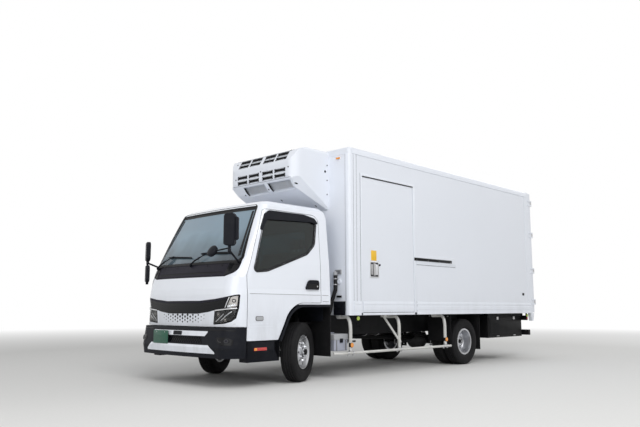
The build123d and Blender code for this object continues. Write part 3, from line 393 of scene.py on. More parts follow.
def make_stage(context):
    """Camera, lamps, world and the pale floor."""
    stage = context.scene.truck_stage
    scene = context.scene
    scene.view_settings.view_transform = "Standard"
    camera = bpy.data.cameras.new("photo camera")
    camera.sensor_width = 36.0
    camera.lens = stage.lens
    viewer = bpy.data.objects.new("photo camera", camera)
    viewer.location = stage.camera_place
    viewer.rotation_euler = (math.pi / 2 + stage.camera_pitch, stage.camera_roll, stage.camera_yaw)
    scene.collection.objects.link(viewer)
    scene.camera = viewer

    world = bpy.data.worlds.new("sky")
    scene.world = world
    world.use_nodes = True
    tree = world.node_tree
    background = tree.nodes["Background"]
    path = tree.nodes.new("ShaderNodeLightPath")
    seen, seen_through = (tree.nodes.new("ShaderNodeMath") for _ in range(2))
    seen.operation = seen_through.operation = "MAXIMUM"
    strength = tree.nodes.new("ShaderNodeMapRange")
    tree.links.new(path.outputs["Is Camera Ray"], seen.inputs[0])
    tree.links.new(path.outputs["Is Glossy Ray"], seen.inputs[1])
    tree.links.new(seen.outputs[0], seen_through.inputs[0])
    tree.links.new(path.outputs["Is Transmission Ray"], seen_through.inputs[1])
    tree.links.new(seen_through.outputs[0], strength.inputs["Value"])
    strength.inputs["To Min"].default_value = stage.sky_light
    strength.inputs["To Max"].default_value = 1.0
    tree.links.new(strength.outputs[0], background.inputs["Strength"])
    background.inputs["Color"].default_value = (1.0, 1.0, 1.0, 1.0)

    aim = Vector((0, 0, 1))
    for name, place, size, power in (("key", (10.5, -6.5, 11.0), 9.0, stage.key_power),
                                     ("fill", (5.0, -13.0, 5.0), 8.0, stage.key_power * 0.3),
                                     ("back", (2.0, 12.0, 9.0), 8.0, stage.key_power * 0.3)):
        lamp = bpy.data.lights.new(name, "AREA")
        lamp.size = size
        lamp.energy = power
        holder = bpy.data.objects.new(name, lamp)
        holder.location = place
        holder.rotation_euler = (aim - Vector(place)).to_track_quat("-Z", "Y").to_euler()
        scene.collection.objects.link(holder)

    finish = Finish("pale floor")
    x, y, _ = finish.axes()
    reach = (x * x + y * y).math("POWER", 0.5)
    far = reach.ramp(8.0, 22.0)
    speck = finish.noise(30.0, 6.0, 0.7)
    pale = finish.mix(speck, (0.70, 0.70, 0.69, 1), (0.78, 0.78, 0.77, 1))
    near_shader = finish.node("ShaderNodeBsdfDiffuse", {}, {"Color": pale})
    far_shader = finish.node("ShaderNodeEmission", {}, {"Color": (1, 1, 1, 1), "Strength": 1.0})
    path = finish.node("ShaderNodeLightPath", output="Is Camera Ray")
    both = finish.node("ShaderNodeMixShader", {}, {0: far * path, 1: near_shader, 2: far_shader})
    bm = bmesh.new()
    bmesh.ops.create_circle(bm, cap_ends=True, segments=96, radius=60.0)
    floor = mesh_object("floor", bm, [finish.shown(both)])


# Mesh tools

def mesh_object(name, bm, materials):
    """A linked object from a bmesh, at the origin."""
    mesh = bpy.data.meshes.new(name)
    bm.to_mesh(mesh)
    bm.free()
    for look in materials:
        mesh.materials.append(look)
    item = bpy.data.objects.new(name, mesh)
    bpy.context.scene.collection.objects.link(item)
    return item


class Piece:
    """One piece in the making: shapes with their finishes, joined in one mesh."""

    def __init__(self, name, cast=None):
        self.name = name
        self.cast = cast
        self.bm = bmesh.new()
        self.materials = []

    def take(self, bm, finish, smooth=False, place=None):
        """Add a shape in the finish of this name, and free it."""
        look = material(finish)
        if look not in self.materials:
            self.materials.append(look)
        index = self.materials.index(look)
        if place is not None:
            bm.transform(place)
            if place.determinant() < 0:
                bmesh.ops.reverse_faces(bm, faces=bm.faces[:])
        for face in bm.faces:
            face.material_index = index
            face.smooth = smooth
        holder = bpy.data.meshes.new("holder")
        bm.to_mesh(holder)
        bm.free()
        self.bm.from_mesh(holder)
        bpy.data.meshes.remove(holder)

    def box(self, low, high, finish, round=0.0, segments=2, place=None):
        """A box between two corners: (x, behind, height), or in the frame of its place."""
        if place is None:
            low, high = at(*low), at(*high)
        self.take(block(Vector(low), Vector(high), round, segments), finish, place=place)

    def rod(self, start, end, radius, finish, segments=16, round=0.0):
        """A round bar between two points, each (x, behind, height) or a Vector in the scene."""
        start, end = point(start), point(end)
        bm = bmesh.new()
        line = end - start
        turn = line.to_track_quat("Z", "Y").to_matrix().to_4x4()
        bmesh.ops.create_cone(bm, cap_ends=True, segments=segments, radius1=radius, radius2=radius,
                              depth=line.length, matrix=Matrix.Translation((start + end) / 2)
                              @ turn)
        soften(bm, [e for e in bm.edges if any(len(f.verts) > 4 for f in e.link_faces)], round, 2)
        self.take(bm, finish)

    def slab(self, low, high, corner, depth, finish, place, round=0.0):
        """A plate with an oblong outline, its corners rounded by the radius in corner."""
        self.plate(rounded(oblong(low, high), corner), depth, finish, place, round)

    def plate(self, outline, depth, finish, place, round=0.0):
        """An outline in X and Y, raised by depth in Z, then put in place."""
        bm = bmesh.new()
        face = bm.faces.new([bm.verts.new((u, v, 0)) for u, v in outline])
        if face.normal.z < 0 or signed_area(outline) < 0:
            face.normal_flip()
        bmesh.ops.translate(bm, verts=raised(bm, bm.faces[:]), vec=(0, 0, depth))
        bmesh.ops.recalc_face_normals(bm, faces=bm.faces[:])
        if round > 0:
            top = [e for e in bm.edges if all(abs(v.co.z - depth) < 1e-7 for v in e.verts)]
            soften(bm, top, round, 2)
        self.take(bm, finish, place=place)

    def lathe(self, profile, finish, place, segments=48):
        """A closed profile of (radius, height) points turned about Z, then put in place."""
        self.take(spun(profile, segments), finish, smooth=True, place=place)

    def pipe(self, points, radius, finish, sides=5, order=3):
        """A tube along a smooth line in the hull of the points, given as a rod's are."""
        curve = bpy.data.curves.new("line", "CURVE")
        curve.dimensions = "3D"
        spline = curve.splines.new("NURBS")
        spline.points.add(len(points) - 1)
        for knot, place in zip(spline.points, points):
            knot.co = (*point(place), 1.0)
        spline.order_u = order
        spline.use_endpoint_u = True
        curve.resolution_u = 6
        curve.bevel_depth = radius
        curve.bevel_resolution = sides
        curve.use_fill_caps = True
        holder = bpy.data.objects.new("line", curve)
        mesh = bpy.data.meshes.new_from_object(holder)
        bm = bmesh.new()
        bm.from_mesh(mesh)
        bpy.data.objects.remove(holder)
        bpy.data.curves.remove(curve)
        bpy.data.meshes.remove(mesh)
        self.take(bm, finish, smooth=True)

    def lay(self, outline, rise, thick, finish, step=0.04, cast=None):
        """A patch with this outline, draped on the surface that the piece's cast finds."""
        bm = bmesh.new()
        bm.faces.new([bm.verts.new((u, v, 0)) for u, v in outline])
        for axis in (0, 1):
            reach = [point[axis] for point in outline]
            place = math.ceil(min(reach) / step) * step
            while place < max(reach):
                normal = Vector((1 - axis, axis, 0))
                bmesh.ops.bisect_plane(bm, geom=bm.verts[:] + bm.edges[:] + bm.faces[:],
                                       plane_co=normal * place, plane_no=normal)
                place += step
        self.drape(bm, rise, thick, finish, cast or self.cast)

    def drape(self, bm, rise, thick, finish, cast):
        """Put a flat sheet's points on the surface and give it its thickness."""
        directions = {}
        for vert in bm.verts:
            spot, normal = cast(vert.co.x, vert.co.y)
            vert.co = spot + normal * rise
            directions[vert_key(vert)] = normal
        thicken(bm, directions, thick)
        self.take(bm, finish, smooth=True)

    def strip(self, points, width, rise, thick, finish, closed=False, cast=None):
        """A band of even width along a path, draped on the surface that the cast finds."""
        path = finer(points, 0.04, closed)
        bm = bmesh.new()
        rows = []
        for index, here in enumerate(path):
            before = path[index - 1] if (closed or index) else here
            after = path[(index + 1) % len(path)] if (closed or index + 1 < len(path)) else here
            line = (after - before).normalized()
            aside = Vector((-line.y, line.x)) * width / 2
            rows.append([bm.verts.new((*(here + aside), 0)), bm.verts.new((*(here - aside), 0))])
        pairs = list(zip(rows, rows[1:])) + ([(rows[-1], rows[0])] if closed else [])
        for first, second in pairs:
            bm.faces.new([first[0], first[1], second[1], second[0]])
        self.drape(bm, rise, thick, finish, cast or self.cast)

    def done(self, body, replaces=()):
        """The finished object, riding on its body."""
        item = mesh_object(self.name, self.bm, self.materials)
        item.data.set_sharp_from_angle(angle=math.radians(35))
        for polygon in item.data.polygons:
            polygon.use_smooth = True
        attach(item, body)
        if replaces:
            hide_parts(*replaces)
        return item


class Skin:
    """The surface of some CAD nodes, to lay trims on."""

    def __init__(self, *names):
        corners, faces = [], []
        for name in names:
            mesh = NODES[name].data
            first = len(corners)
            corners += [vert.co.copy() for vert in mesh.vertices]
            faces += [[first + index for index in polygon.vertices] for polygon in mesh.polygons]
        self.tree = BVHTree.FromPolygons(corners, faces)

    def cast(self, start, line):
        spot, normal, *_ = self.tree.ray_cast(Vector(start), Vector(line))
        if spot is None:
            raise RuntimeError("no surface ahead of %s" % (tuple(start),))
        return spot, (normal if normal.dot(Vector(line)) < 0 else -normal)

    def front(self, x, z):
        """The place and direction of the surface seen from ahead."""
        return self.cast((x, -6, z), (0, 1, 0))

    def side(self, side):
        """The same as seen from the vehicle's left (1) or right (-1), by y and z."""
        return lambda y, z: self.cast((6 * side, y, z), (-side, 0, 0))


def point(place):
    """A Vector in the scene as it is, or one from (x, behind, height)."""
    return place if isinstance(place, Vector) else at(*place)


def block(low, high, round, segments):
    """A box between two corners, with its edges rounded."""
    bm = bmesh.new()
    bmesh.ops.create_cube(bm, size=1.0, matrix=Matrix.Translation((high + low) / 2)
                          @ Matrix.Diagonal((*(high - low), 1)))
    soften(bm, bm.edges[:], round, segments)
    return bm


def spun(profile, steps):
    """A closed profile of (radius, height) points turned about Z."""
    bm = bmesh.new()
    points = [bm.verts.new((radius, 0, height)) for radius, height in profile]
    for first, second in zip(points, points[1:] + points[:1]):
        bm.edges.new((first, second))
    bmesh.ops.spin(bm, geom=bm.verts[:] + bm.edges[:], cent=(0, 0, 0), axis=(0, 0, 1),
                   angle=2 * math.pi, steps=steps, use_merge=True)
    bmesh.ops.remove_doubles(bm, verts=bm.verts[:], dist=1e-6)
    bmesh.ops.recalc_face_normals(bm, faces=bm.faces[:])
    return bm


def rounded(corners, radii, steps=6):
    """An outline with its corners rounded; one radius, or one for each corner."""
    if not isinstance(radii, (list, tuple)):
        radii = [radii] * len(corners)
    outline = []
    for index, radius in enumerate(radii):
        here = Vector(corners[index])
        before = (Vector(corners[index - 1]) - here).normalized()
        after = (Vector(corners[(index + 1) % len(corners)]) - here).normalized()
        half = before.angle(after) / 2
        if radius <= 0 or half > math.radians(89):
            outline.append(tuple(here))
            continue
        middle = here + (before + after).normalized() * radius / math.sin(half)
        start = here + before * radius / math.tan(half) - middle
        end = here + after * radius / math.tan(half) - middle
        for step in range(steps + 1):
            outline.append(tuple(middle + start.slerp(end, step / steps).normalized() * radius))
    return outline


def finer(points, step, closed=False):
    """A path with points added so that none lie further apart than step."""
    ring = list(points) + ([points[0]] if closed else [])
    path = [Vector(ring[0])]
    for first, second in zip(ring, ring[1:]):
        line = Vector(second) - Vector(first)
        count = max(1, math.ceil(line.length / step))
        path += [Vector(first) + line * (i / count) for i in range(1, count + 1)]
    return path[:-1] if closed else path


def vert_key(vert):
    return tuple(round(c, 6) for c in vert.co)


def raised(bm, faces):
    """Extrude some faces and return the vertices that move."""
    made = bmesh.ops.extrude_face_region(bm, geom=faces)
    return [part for part in made["geom"] if isinstance(part, bmesh.types.BMVert)]


def thicken(bm, directions, thick):
    """Give a sheet a thickness along the direction kept for each vertex."""
    for vert in raised(bm, bm.faces[:]):
        vert.co += directions[vert_key(vert)] * thick
    bmesh.ops.recalc_face_normals(bm, faces=bm.faces[:])


def signed_area(outline):
    pairs = zip(outline, outline[1:] + outline[:1])
    return sum(a[0] * b[1] - b[0] * a[1] for a, b in pairs) / 2


def soften(bm, edges, size, segments):
    """Round some edges, if there is a size to round them by."""
    if size > 0:
        bmesh.ops.bevel(bm, geom=edges, offset=size, segments=segments, profile=0.5,
                        affect="EDGES", material=-1)


def axis_place(centre, axis, up=(0, 0, 1)):
    """A frame at (x, behind, height) whose Z lies along an axis and whose X leans towards up."""
    z = Vector(axis).normalized()
    x = Vector(up) - z * z.dot(Vector(up))
    if x.length < 1e-6:
        x = Vector((1, 0, 0)) - z * z.x
    x.normalize()
    return placed(centre) @ Matrix((x, z.cross(x), z)).transposed().to_4x4()


# Wheels

# radius, across: one half of the tyre from the middle of the tread to the bead, in millimetres
TYRE_HALF = [
    (377.4, 0), (377.3, 13), (369.0, 14.5), (369.0, 20.5), (377.0, 22), (376.6, 46),
    (368.6, 47.5), (368.6, 53.5), (376.0, 55), (375.0, 70), (371.5, 81), (364.0, 89),
    (353.0, 92.5), (351.0, 91.5), (345.0, 94.5), (320.0, 99.5), (296.0, 101.5), (290.0, 100.5),
    (284.0, 101.5), (262.0, 99.0), (240.0, 92.5), (238.0, 90.5), (229.0, 87.0), (218.0, 79.5),
    (216.5, 74.0), (203.2, 72.5),
]
TREAD_PITCHES = 56
TREAD_PITCH = 2 * math.pi / TREAD_PITCHES
CUT_SHARE = 0.14
RIB_BOTTOM = 0.3635


def wheel_place(side, behind, across, steer=0.0):
    """The frame of a wheel: its middle, with Z outwards along the axle."""
    kingpin = placed((side * KINGPIN_X, behind, 0))
    steered = kingpin @ turned(steer, "Z") @ kingpin.inverted()
    return steered @ axis_place((side * across, behind, WHEEL_Z), (side, 0, 0))


def tread_angle(step):
    """Angle of a spin step: wide blocks with narrow cuts between them."""
    return (step // 2 + (CUT_SHARE if step % 2 else 0.0)) * TREAD_PITCH


def add_tyre(piece, place, cut_depth):
    """A ribbed tyre with cut shoulders and cross cuts in its ribs."""
    half = [(r / 1000, h / 1000) for r, h in TYRE_HALF]
    steps = 2 * TREAD_PITCHES
    bm = spun([(r, -h) for r, h in reversed(half[1:])] + half, steps)
    for vert in bm.verts:
        radius = math.hypot(vert.co.x, vert.co.y)
        angle = tread_angle(round(math.atan2(vert.co.y, vert.co.x) / (2 * math.pi) * steps) % steps)
        vert.co.x, vert.co.y = radius * math.cos(angle), radius * math.sin(angle)
    cuts = []
    for face in bm.faces:
        middle = face.calc_center_median()
        turn = math.atan2(middle.y, middle.x) % TREAD_PITCH
        across = abs(middle.z)
        on_rib = across < 0.013 or 0.023 < across < 0.046 or across > 0.0555
        on_top = math.hypot(middle.x, middle.y) > RIB_BOTTOM and face.normal.xy.length > 0.3
        if on_rib and on_top and turn < CUT_SHARE * TREAD_PITCH:
            cuts.append(face)
    for vert in raised(bm, cuts):
        vert.co -= Vector((vert.co.x, vert.co.y, 0)).normalized() * cut_depth
    piece.take(bm, "tyre", smooth=True, place=place)


def make_tyres(context):
    """Ribbed tyres in place of the plain CAD ones."""
    depth = context.scene.truck_sizes.cut_depth
    for side, name in SIDES:
        front = Piece("tyre_tread_front_" + name)
        add_tyre(front, wheel_place(side, 0, FRONT_WHEEL_X, STEER), depth)
        front.done("front_wheel_" + name, ["front_tyre_" + name])
        rear = Piece("tyre_tread_rear_" + name)
        for shift in (-TWIN_SHIFT, TWIN_SHIFT):
            add_tyre(rear, wheel_place(side, REAR_AXLE, REAR_WHEEL_X + shift), depth)
        rear.done("rear_wheel_" + name, ["rear_tyres_" + name])


def add_nut(piece, finish, place, size, length):
    """A hexagon nut with a washer and a domed stud end, standing on Z = 0."""
    piece.lathe([(0.0, 0.0), (size * 1.25, 0.0), (size * 1.25, 0.003), (0.0, 0.003)], finish,
                place, segments=20)
    bm = bmesh.new()
    bmesh.ops.create_cone(bm, cap_ends=True, segments=6, radius1=size, radius2=size, depth=length,
                          matrix=moved(0, 0, 0.003 + length / 2))
    soften(bm, [e for e in bm.edges if all(v.co.z > length for v in e.verts)], size * 0.12, 1)
    piece.take(bm, finish, place=place)
    piece.lathe([(0.0, length), (size * 0.55, length), (size * 0.55, length * 1.35),
                 (size * 0.35, length * 1.5), (0.0, length * 1.52)], finish, place, segments=12)


def ring_places(place, count, radius, height, start=0.0):
    """Frames standing round a wheel's axle."""
    return [place @ turned(start + 2 * math.pi * i / count, "Z") @ moved(radius, 0, height)
            for i in range(count)]


def make_wheel_details(context):
    """Nuts, hubs, valves and rim edges."""
    sizes = context.scene.truck_sizes
    for side, name in SIDES:
        place = wheel_place(side, 0, FRONT_WHEEL_X, STEER)
        piece = Piece("front_hub_" + name)
        for spot in ring_places(place, sizes.wheel_nuts, 0.106, 0.064):
            add_nut(piece, "bright", spot, 0.0165, 0.019)
        for spot in ring_places(place, 8, 0.049, 0.1, 0.2):
            add_nut(piece, "bright", spot, 0.0065, 0.006)
        piece.lathe([(0.0, 0.1002), (0.036, 0.1002), (0.036, 0.116), (0.030, 0.1215),
                     (0.0, 0.1225)], "chassis", place, 32)
        piece.lathe([(0.060, 0.062), (0.0655, 0.062), (0.0655, 0.086), (0.063, 0.0905),
                     (0.060, 0.0905)], "chassis", place, 40)
        add_valve(piece, place, 0.178, 0.062)
        piece.done("front_wheel_" + name)
        place = wheel_place(side, REAR_AXLE, REAR_WHEEL_X)
        piece = Piece("rear_hub_" + name)
        for spot in ring_places(place, sizes.wheel_nuts, 0.1275, 0.0082, 0.26):
            add_nut(piece, "bright", spot, 0.0175, 0.024)
        for spot in ring_places(place, 8, 0.058, 0.1035):
            add_nut(piece, "steel", spot, 0.008, 0.007)
        piece.lathe([(0.0, 0.1038), (0.034, 0.1038), (0.034, 0.112), (0.030, 0.115),
                     (0.0, 0.1155)], "chassis", place, 32)
        piece.lathe([(0.078, 0.094), (0.084, 0.094), (0.084, 0.1035), (0.078, 0.1055)], "chassis",
                    place, 40)
        add_valve(piece, place, 0.172, 0.06)
        piece.done("rear_wheel_" + name)


def add_valve(piece, place, radius, height):
    """A tyre valve with its cap, leaning out of the rim's well."""
    stem = place @ turned(0.7, "Z") @ moved(radius, 0, height)
    piece.lathe([(0.0, 0.0), (0.006, 0.0), (0.005, 0.018), (0.0032, 0.02), (0.0032, 0.036),
                 (0.0, 0.036)], "seal", stem, 12)
    piece.lathe([(0.0, 0.036), (0.0046, 0.036), (0.0046, 0.047), (0.003, 0.049), (0.0, 0.049)],
                "steel", stem, 12)


# Cargo box

# the wall's bare field between the rails, and the ends of the side door's frame
WALL_FOOT, WALL_TOP = 1.0275, 3.088
DOOR_FRONT, DOOR_BACK = 0.985, 2.285

# out from the wall, height: the bottom rail's section with its two grooves
BOTTOM_RAIL = [
    (0.0, 0.8362), (0.0075, 0.8362), (0.009, 0.838), (0.009, 0.866), (0.0055, 0.8685),
    (0.0055, 0.9065), (0.0085, 0.909), (0.0085, 0.958), (0.0055, 0.961), (0.0055, 0.984),
    (0.0085, 0.987), (0.0085, 1.006), (0.003, 1.026), (0.0, WALL_FOOT),
]
TOP_RAIL = [
    (0.0, WALL_TOP), (0.006, WALL_TOP), (0.0075, 3.0905), (0.0075, 3.096), (0.004, 3.1),
    (0.004, 3.150), (0.0028, 3.158), (0.0, 3.16),
]


def side_section(side, start):
    """Frame for a section of (out from the wall, height) that is raised rearwards."""
    return Matrix(((side, 0, 0, side * BOX_SIDE), (0, 0, 1, along(start)), (0, 1, 0, 0),
                   (0, 0, 0, 1)))


def side_sheet(side, out=BOX_SIDE):
    """Frame for an outline of (behind the front axle, height) that is raised outwards."""
    return Matrix(((0, 0, side, side * out), (1, 0, 0, AXLE_Y), (0, 1, 0, 0), (0, 0, 0, 1)))


def front_sheet(behind):
    """Frame for an outline of (x, height) that is raised forwards."""
    return Matrix(((1, 0, 0, 0), (0, 0, -1, along(behind)), (0, 1, 0, 0), (0, 0, 0, 1)))


def rear_sheet(behind):
    """Frame for an outline of (x, height) that is raised rearwards."""
    return Matrix(((1, 0, 0, 0), (0, 0, 1, along(behind)), (0, 1, 0, 0), (0, 0, 0, 1)))


def oblong(low, high):
    """The four corners of an upright rectangle."""
    return [(low[0], low[1]), (high[0], low[1]), (high[0], high[1]), (low[0], high[1])]


def add_rivets(piece, spots, sheet, size):
    """Dome rivets on a sheet's frame, from (across, height) spots."""
    for u, v in spots:
        piece.lathe([(0.0, 0.0), (size, 0.0), (size * 0.8, size * 0.35), (size * 0.4, size * 0.5),
                     (0.0, size * 0.55)], "box_trim", sheet @ moved(u, v, 0), 8)


def make_box_trim():
    """Rails, seams, edge strips and rivets on the cargo box, its nose and its roof."""
    for side, name in SIDES:
        piece = Piece("box_rails_" + name)
        spans = [(0.835, BOX_TAIL)] if side < 0 else [(0.835, DOOR_FRONT), (DOOR_BACK, BOX_TAIL)]
        for start, end in spans:
            piece.plate(BOTTOM_RAIL, end - start, "box_trim", side_section(side, start))
        piece.plate(TOP_RAIL, BOX_TAIL - 0.815, "box_trim", side_section(side, 0.815))
        sheet = side_sheet(side)
        for start, width, rise in ((0.8352, 0.003, 0.0008), (0.8382, 0.042, 0.0035),
                                   (0.9, 0.003, 0.001), (5.905, 0.088, 0.003)):
            finish = "box_trim" if width > 0.01 else "seal"
            piece.slab((start, WALL_FOOT), (start + width, WALL_TOP), 0, rise, finish, sheet)
        heights = [1.08 + 0.1775 * i for i in range(12)]
        for behind, out in ((0.86, 1.1015), (5.93, 1.101)):
            add_rivets(piece, [(behind, z) for z in heights], side_sheet(side, out), 0.0042)
        lows = [3.2 + 0.2 * i for i in range(14)]
        add_rivets(piece, [(a, 0.851) for a in lows], side_sheet(side, 1.107), 0.004)
        piece.done("root")

        marks = Piece("box_side_marks_" + name)
        marks.slab((5.69, 1.168), (5.75, 1.212), 0.012, 0.010, "seal", sheet, 0.003)
        marks.done("root")
    make_box_front()
    make_box_roof_trim()


def make_box_front():
    """What stands on the nose wall: lamps, seams, the service panel and its sockets."""
    piece = Piece("box_nose_fittings")
    sheet = front_sheet(BOX_NOSE)
    for side in (1, -1):
        # middle, half width, foot, head, corner, depth, finish, edge
        for x, half, low, high, corner, depth, finish, edge in (
                (0.894, 0.04, 3.022, 3.058, 0.012, 0.006, "box_trim", 0.002),
                (0.894, 0.035, 3.027, 3.053, 0.01, 0.024, "amber", 0.007),
                (1.0165, 0.0015, 0.838, 3.093, 0, 0.001, "seal", 0),
                (1.036, 0.016, 0.838, 3.093, 0, 0.0035, "box_trim", 0.001)):
            piece.slab((side * x - half, low), (side * x + half, high), corner, depth, finish,
                       sheet, edge)
    piece.slab((-1.05, 3.088), (1.05, 3.098), 0, 0.006, "box_trim", sheet, 0.002)
    for side in (1, -1):
        piece.slab((side * 0.911 - 0.101, 0.838), (side * 0.911 + 0.101, 1.026), 0.008, 0.022,
                   "black", sheet, 0.004)
        for row in range(5):
            z = 0.862 + 0.034 * row
            piece.slab((side * 0.911 - 0.085, z), (side * 0.911 + 0.085, z + 0.012), 0, 0.026,
                       "black", sheet, 0.002)
    piece.slab((0.862, 1.078), (0.945, 1.106), 0.006, 0.02, "seal", sheet, 0.003)
    piece.slab((0.829, 1.396), (0.949, 1.462), 0.006, 0.016, "grey", sheet, 0.003)
    for column in range(4):
        x = 0.842 + 0.026 * column
        piece.slab((x, 1.405), (x + 0.014, 1.453), 0, 0.0185, "trim_dark", sheet, 0.001)
    piece.lathe([(0.0, 0.0), (0.034, 0.0), (0.034, 0.012), (0.03, 0.018), (0.0, 0.018)],
                "box_trim", sheet @ moved(0.905, 1.30, 0), 24)
    spots = [(side * 1.036, 0.93 + 0.18 * i) for side in (1, -1) for i in range(12)]
    add_rivets(piece, spots, front_sheet(BOX_NOSE - 0.0035), 0.004)
    piece.done("root")


def make_box_roof_trim():
    """Lap joints of the roof sheets and the seals along the roof's edges."""
    piece = Piece("box_roof_trim")
    for index in range(1, 5):
        lap = BOX_NOSE + 1.05 * index
        piece.box((-1.07, lap - 0.02, 3.1802), (1.07, lap + 0.02, 3.18095), "box_white")
    for side in (1, -1):
        piece.box((side * 1.045 - 0.004, 0.84, 3.1802), (side * 1.045 + 0.004, 5.99, 3.18098),
                  "seal")
    piece.done("root")


def make_side_door():
    """Frame, seals, latch and slide rail of the side door."""
    sheet = side_sheet(1)
    piece = Piece("side_door_frame")
    for low, high in (((0.985, 0.8365), (1.018, 2.80)), ((2.232, 0.8365), (2.285, 2.80)),
                      ((0.985, 2.80), (2.285, 2.835)), ((0.985, 0.8365), (2.285, 0.8695))):
        piece.slab(low, high, 0, 0.005, "box_trim", sheet, 0.0015)
    piece.slab((1.018, 2.786), (2.232, 2.8), 0, 0.0075, "seal", sheet, 0.002)
    piece.slab((0.979, 0.8365), (0.983, 2.835), 0, 0.001, "seal", sheet)
    piece.slab((2.287, 0.8365), (2.291, 1.027), 0, 0.006, "seal", sheet)
    for low, high in (((1.0202, 0.8702), (1.0248, 2.7865)), ((2.2252, 0.8702), (2.2298, 2.7865)),
                      ((1.0248, 0.8702), (2.2252, 0.8748))):
        piece.slab(low, high, 0, 0.004, "seal", side_sheet(1, 1.086))
    piece.done("root")

    leaf = Piece("side_door_dressing")
    face = side_sheet(1, 1.096)
    door_rail = [(out + 0.0018, max(height, 0.878)) for out, height in BOTTOM_RAIL]
    leaf.plate(door_rail, 2.22 - 1.03, "box_trim", side_section(1, 1.03) @ moved(-0.0035, 0, 0))
    leaf.slab((1.212, 1.600), (1.332, 1.745), 0.008, 0.003, "yellow", face @ moved(0, 0.003, 0),
              0.001)
    leaf.slab((1.178, 1.362), (1.378, 1.592), 0.012, 0.0065, "alloy", face, 0.002)
    leaf.slab((1.192, 1.376), (1.364, 1.578), 0.01, 0.008, "trim_dark", face, 0.001)
    leaf.slab((1.250, 1.390), (1.294, 1.565), 0.012, 0.02, "steel", face, 0.006)
    leaf.slab((1.204, 1.40), (1.238, 1.55), 0.006, 0.012, "steel", face, 0.003)
    leaf.slab((1.306, 1.40), (1.352, 1.55), 0.006, 0.012, "alloy", face, 0.003)
    leaf.lathe([(0.0, 0.0), (0.014, 0.0), (0.014, 0.012), (0.011, 0.015), (0.0, 0.015)], "seal",
               face @ moved(1.398, 1.545, 0), 20)
    leaf.done("root")

    rail = Piece("slide_rail")
    rail.slab((2.291, 1.585), (3.395, 1.742), 0.02, 0.003, "box_white", sheet, 0.0015)
    rail.slab((2.30, 1.592), (3.387, 1.596), 0, 0.0038, "seal", sheet)
    rail.slab((2.238, 1.655), (3.275, 1.70), 0, 0.012, "seal", sheet, 0.003)
    rail.slab((2.245, 1.668), (3.268, 1.687), 0, 0.0135, "chassis", sheet, 0.002)
    for behind in (2.29, 2.6, 2.9, 3.22):
        rail.box((1.108, behind, 1.659), (1.1125, behind + 0.012, 1.667), "steel", 0.001)
    rail.done("root")


# Cab outside

SCREEN = [(-0.898, 1.492), (0.898, 1.492), (0.78, 2.218), (-0.78, 2.218)]
WINDOW = [(-0.862, 1.372), (-0.64, 1.392), (0.06, 1.636), (0.205, 1.765), (0.266, 2.075),
          (-0.622, 2.092)]
WINDOW_ROUNDS = [0.04, 0.3, 0.12, 0.12, 0.05, 0.06]


def aft(points):
    """An outline of (behind the front axle, height) as one of (y, height)."""
    return [(along(behind), z) for behind, z in points]


def both(points):
    """The outline and its mirror image across the middle."""
    return points, [(-u, v) for u, v in reversed(points)]


def disc(centre, radius, steps=20):
    """A round outline."""
    return [(centre[0] + radius * math.cos(2 * math.pi * i / steps),
             centre[1] + radius * math.sin(2 * math.pi * i / steps)) for i in range(steps)]


def make_screen_trim():
    """Windscreen seal, dark top band and side strips, cowl ends and slats."""
    skin = Skin("cab_shell", "cab_glass", "cowl_panel")
    piece = Piece("screen_trim", skin.front)
    piece.strip(rounded(SCREEN, 0.045), 0.034, 0.0004, 0.004, "seal", closed=True)
    glass = Skin("cab_glass")
    piece.lay([(-0.775, 2.165), (0.775, 2.165), (0.768, 2.205), (-0.768, 2.205)], 0.0004, 0.0006,
              "seal", 0.06, glass.front)
    corner = [(0.726, 1.313), (0.745, 1.3135), (0.846, 1.347), (0.888, 1.402), (0.903, 1.484),
              (0.897, 1.60), (0.862, 1.52), (0.80, 1.498), (0.742, 1.482)]
    for outline in both(corner):
        piece.lay(outline, 0.002, 0.003, "black_gloss", 0.03)
    slit = [(-0.70, 1.357), (-0.35, 1.362), (0.0, 1.364), (0.35, 1.363), (0.66, 1.361)]
    piece.strip(slit, 0.014, 0.0006, 0.001, "seal")
    piece.strip([(x, z + 0.012) for x, z in slit], 0.006, 0.0005, 0.004, "cowl")
    piece.strip([(-0.73, 1.33), (0, 1.334), (0.73, 1.33)], 0.005, 0.0005, 0.003, "cowl")
    for flip in (1, -1):
        piece.strip([(flip * 0.838, 1.56), (flip * 0.742, 2.15)], 0.036, 0.0003, 0.0006, "seal",
                    cast=glass.front)
    for x in (-0.62, -0.3, 0.02, 0.34, 0.62):
        piece.lay(disc((x, 1.455), 0.008, 10), 0.001, 0.004, "seal")
    piece.done("root")


# pivot, end of the arm, the blade's two ends: places seen from ahead
WIPERS = [((0.0, 1.470), (0.31, 1.628), (0.12, 1.612), (0.70, 1.597)),
          ((-0.811, 1.462), (-0.50, 1.606), (-0.62, 1.602), (-0.058, 1.572))]


def make_wipers():
    """Two arms with their blades, resting low on the windscreen."""
    skin = Skin("cab_shell", "cab_glass", "cowl_panel")

    def above(spot, rise):
        place, normal = skin.front(*spot)
        return place + normal * rise

    piece = Piece("wipers", skin.front)
    for pivot, tip, start, end in WIPERS:
        piece.rod(above(pivot, -0.006), above(pivot, 0.03), 0.018, "black", 16, round=0.003)
        middle = tuple((a + b) / 2 for a, b in zip(pivot, tip))
        near = tuple(a * 0.75 + b * 0.25 for a, b in zip(pivot, tip))
        piece.pipe([above(pivot, 0.024), above(near, 0.042), above(near, 0.042),
                    above(middle, 0.042)], 0.011, "black")
        piece.pipe([above(middle, 0.042), above(tip, 0.032)], 0.007, "black", order=2)
        piece.pipe([above(spot, 0.024) for spot in (start, tip, end)], 0.0065, "black")
        blade = [start, tuple((a + b) / 2 for a, b in zip(start, end)), end]
        piece.strip(blade, 0.007, 0.001, 0.02, "seal")
    piece.done("root")


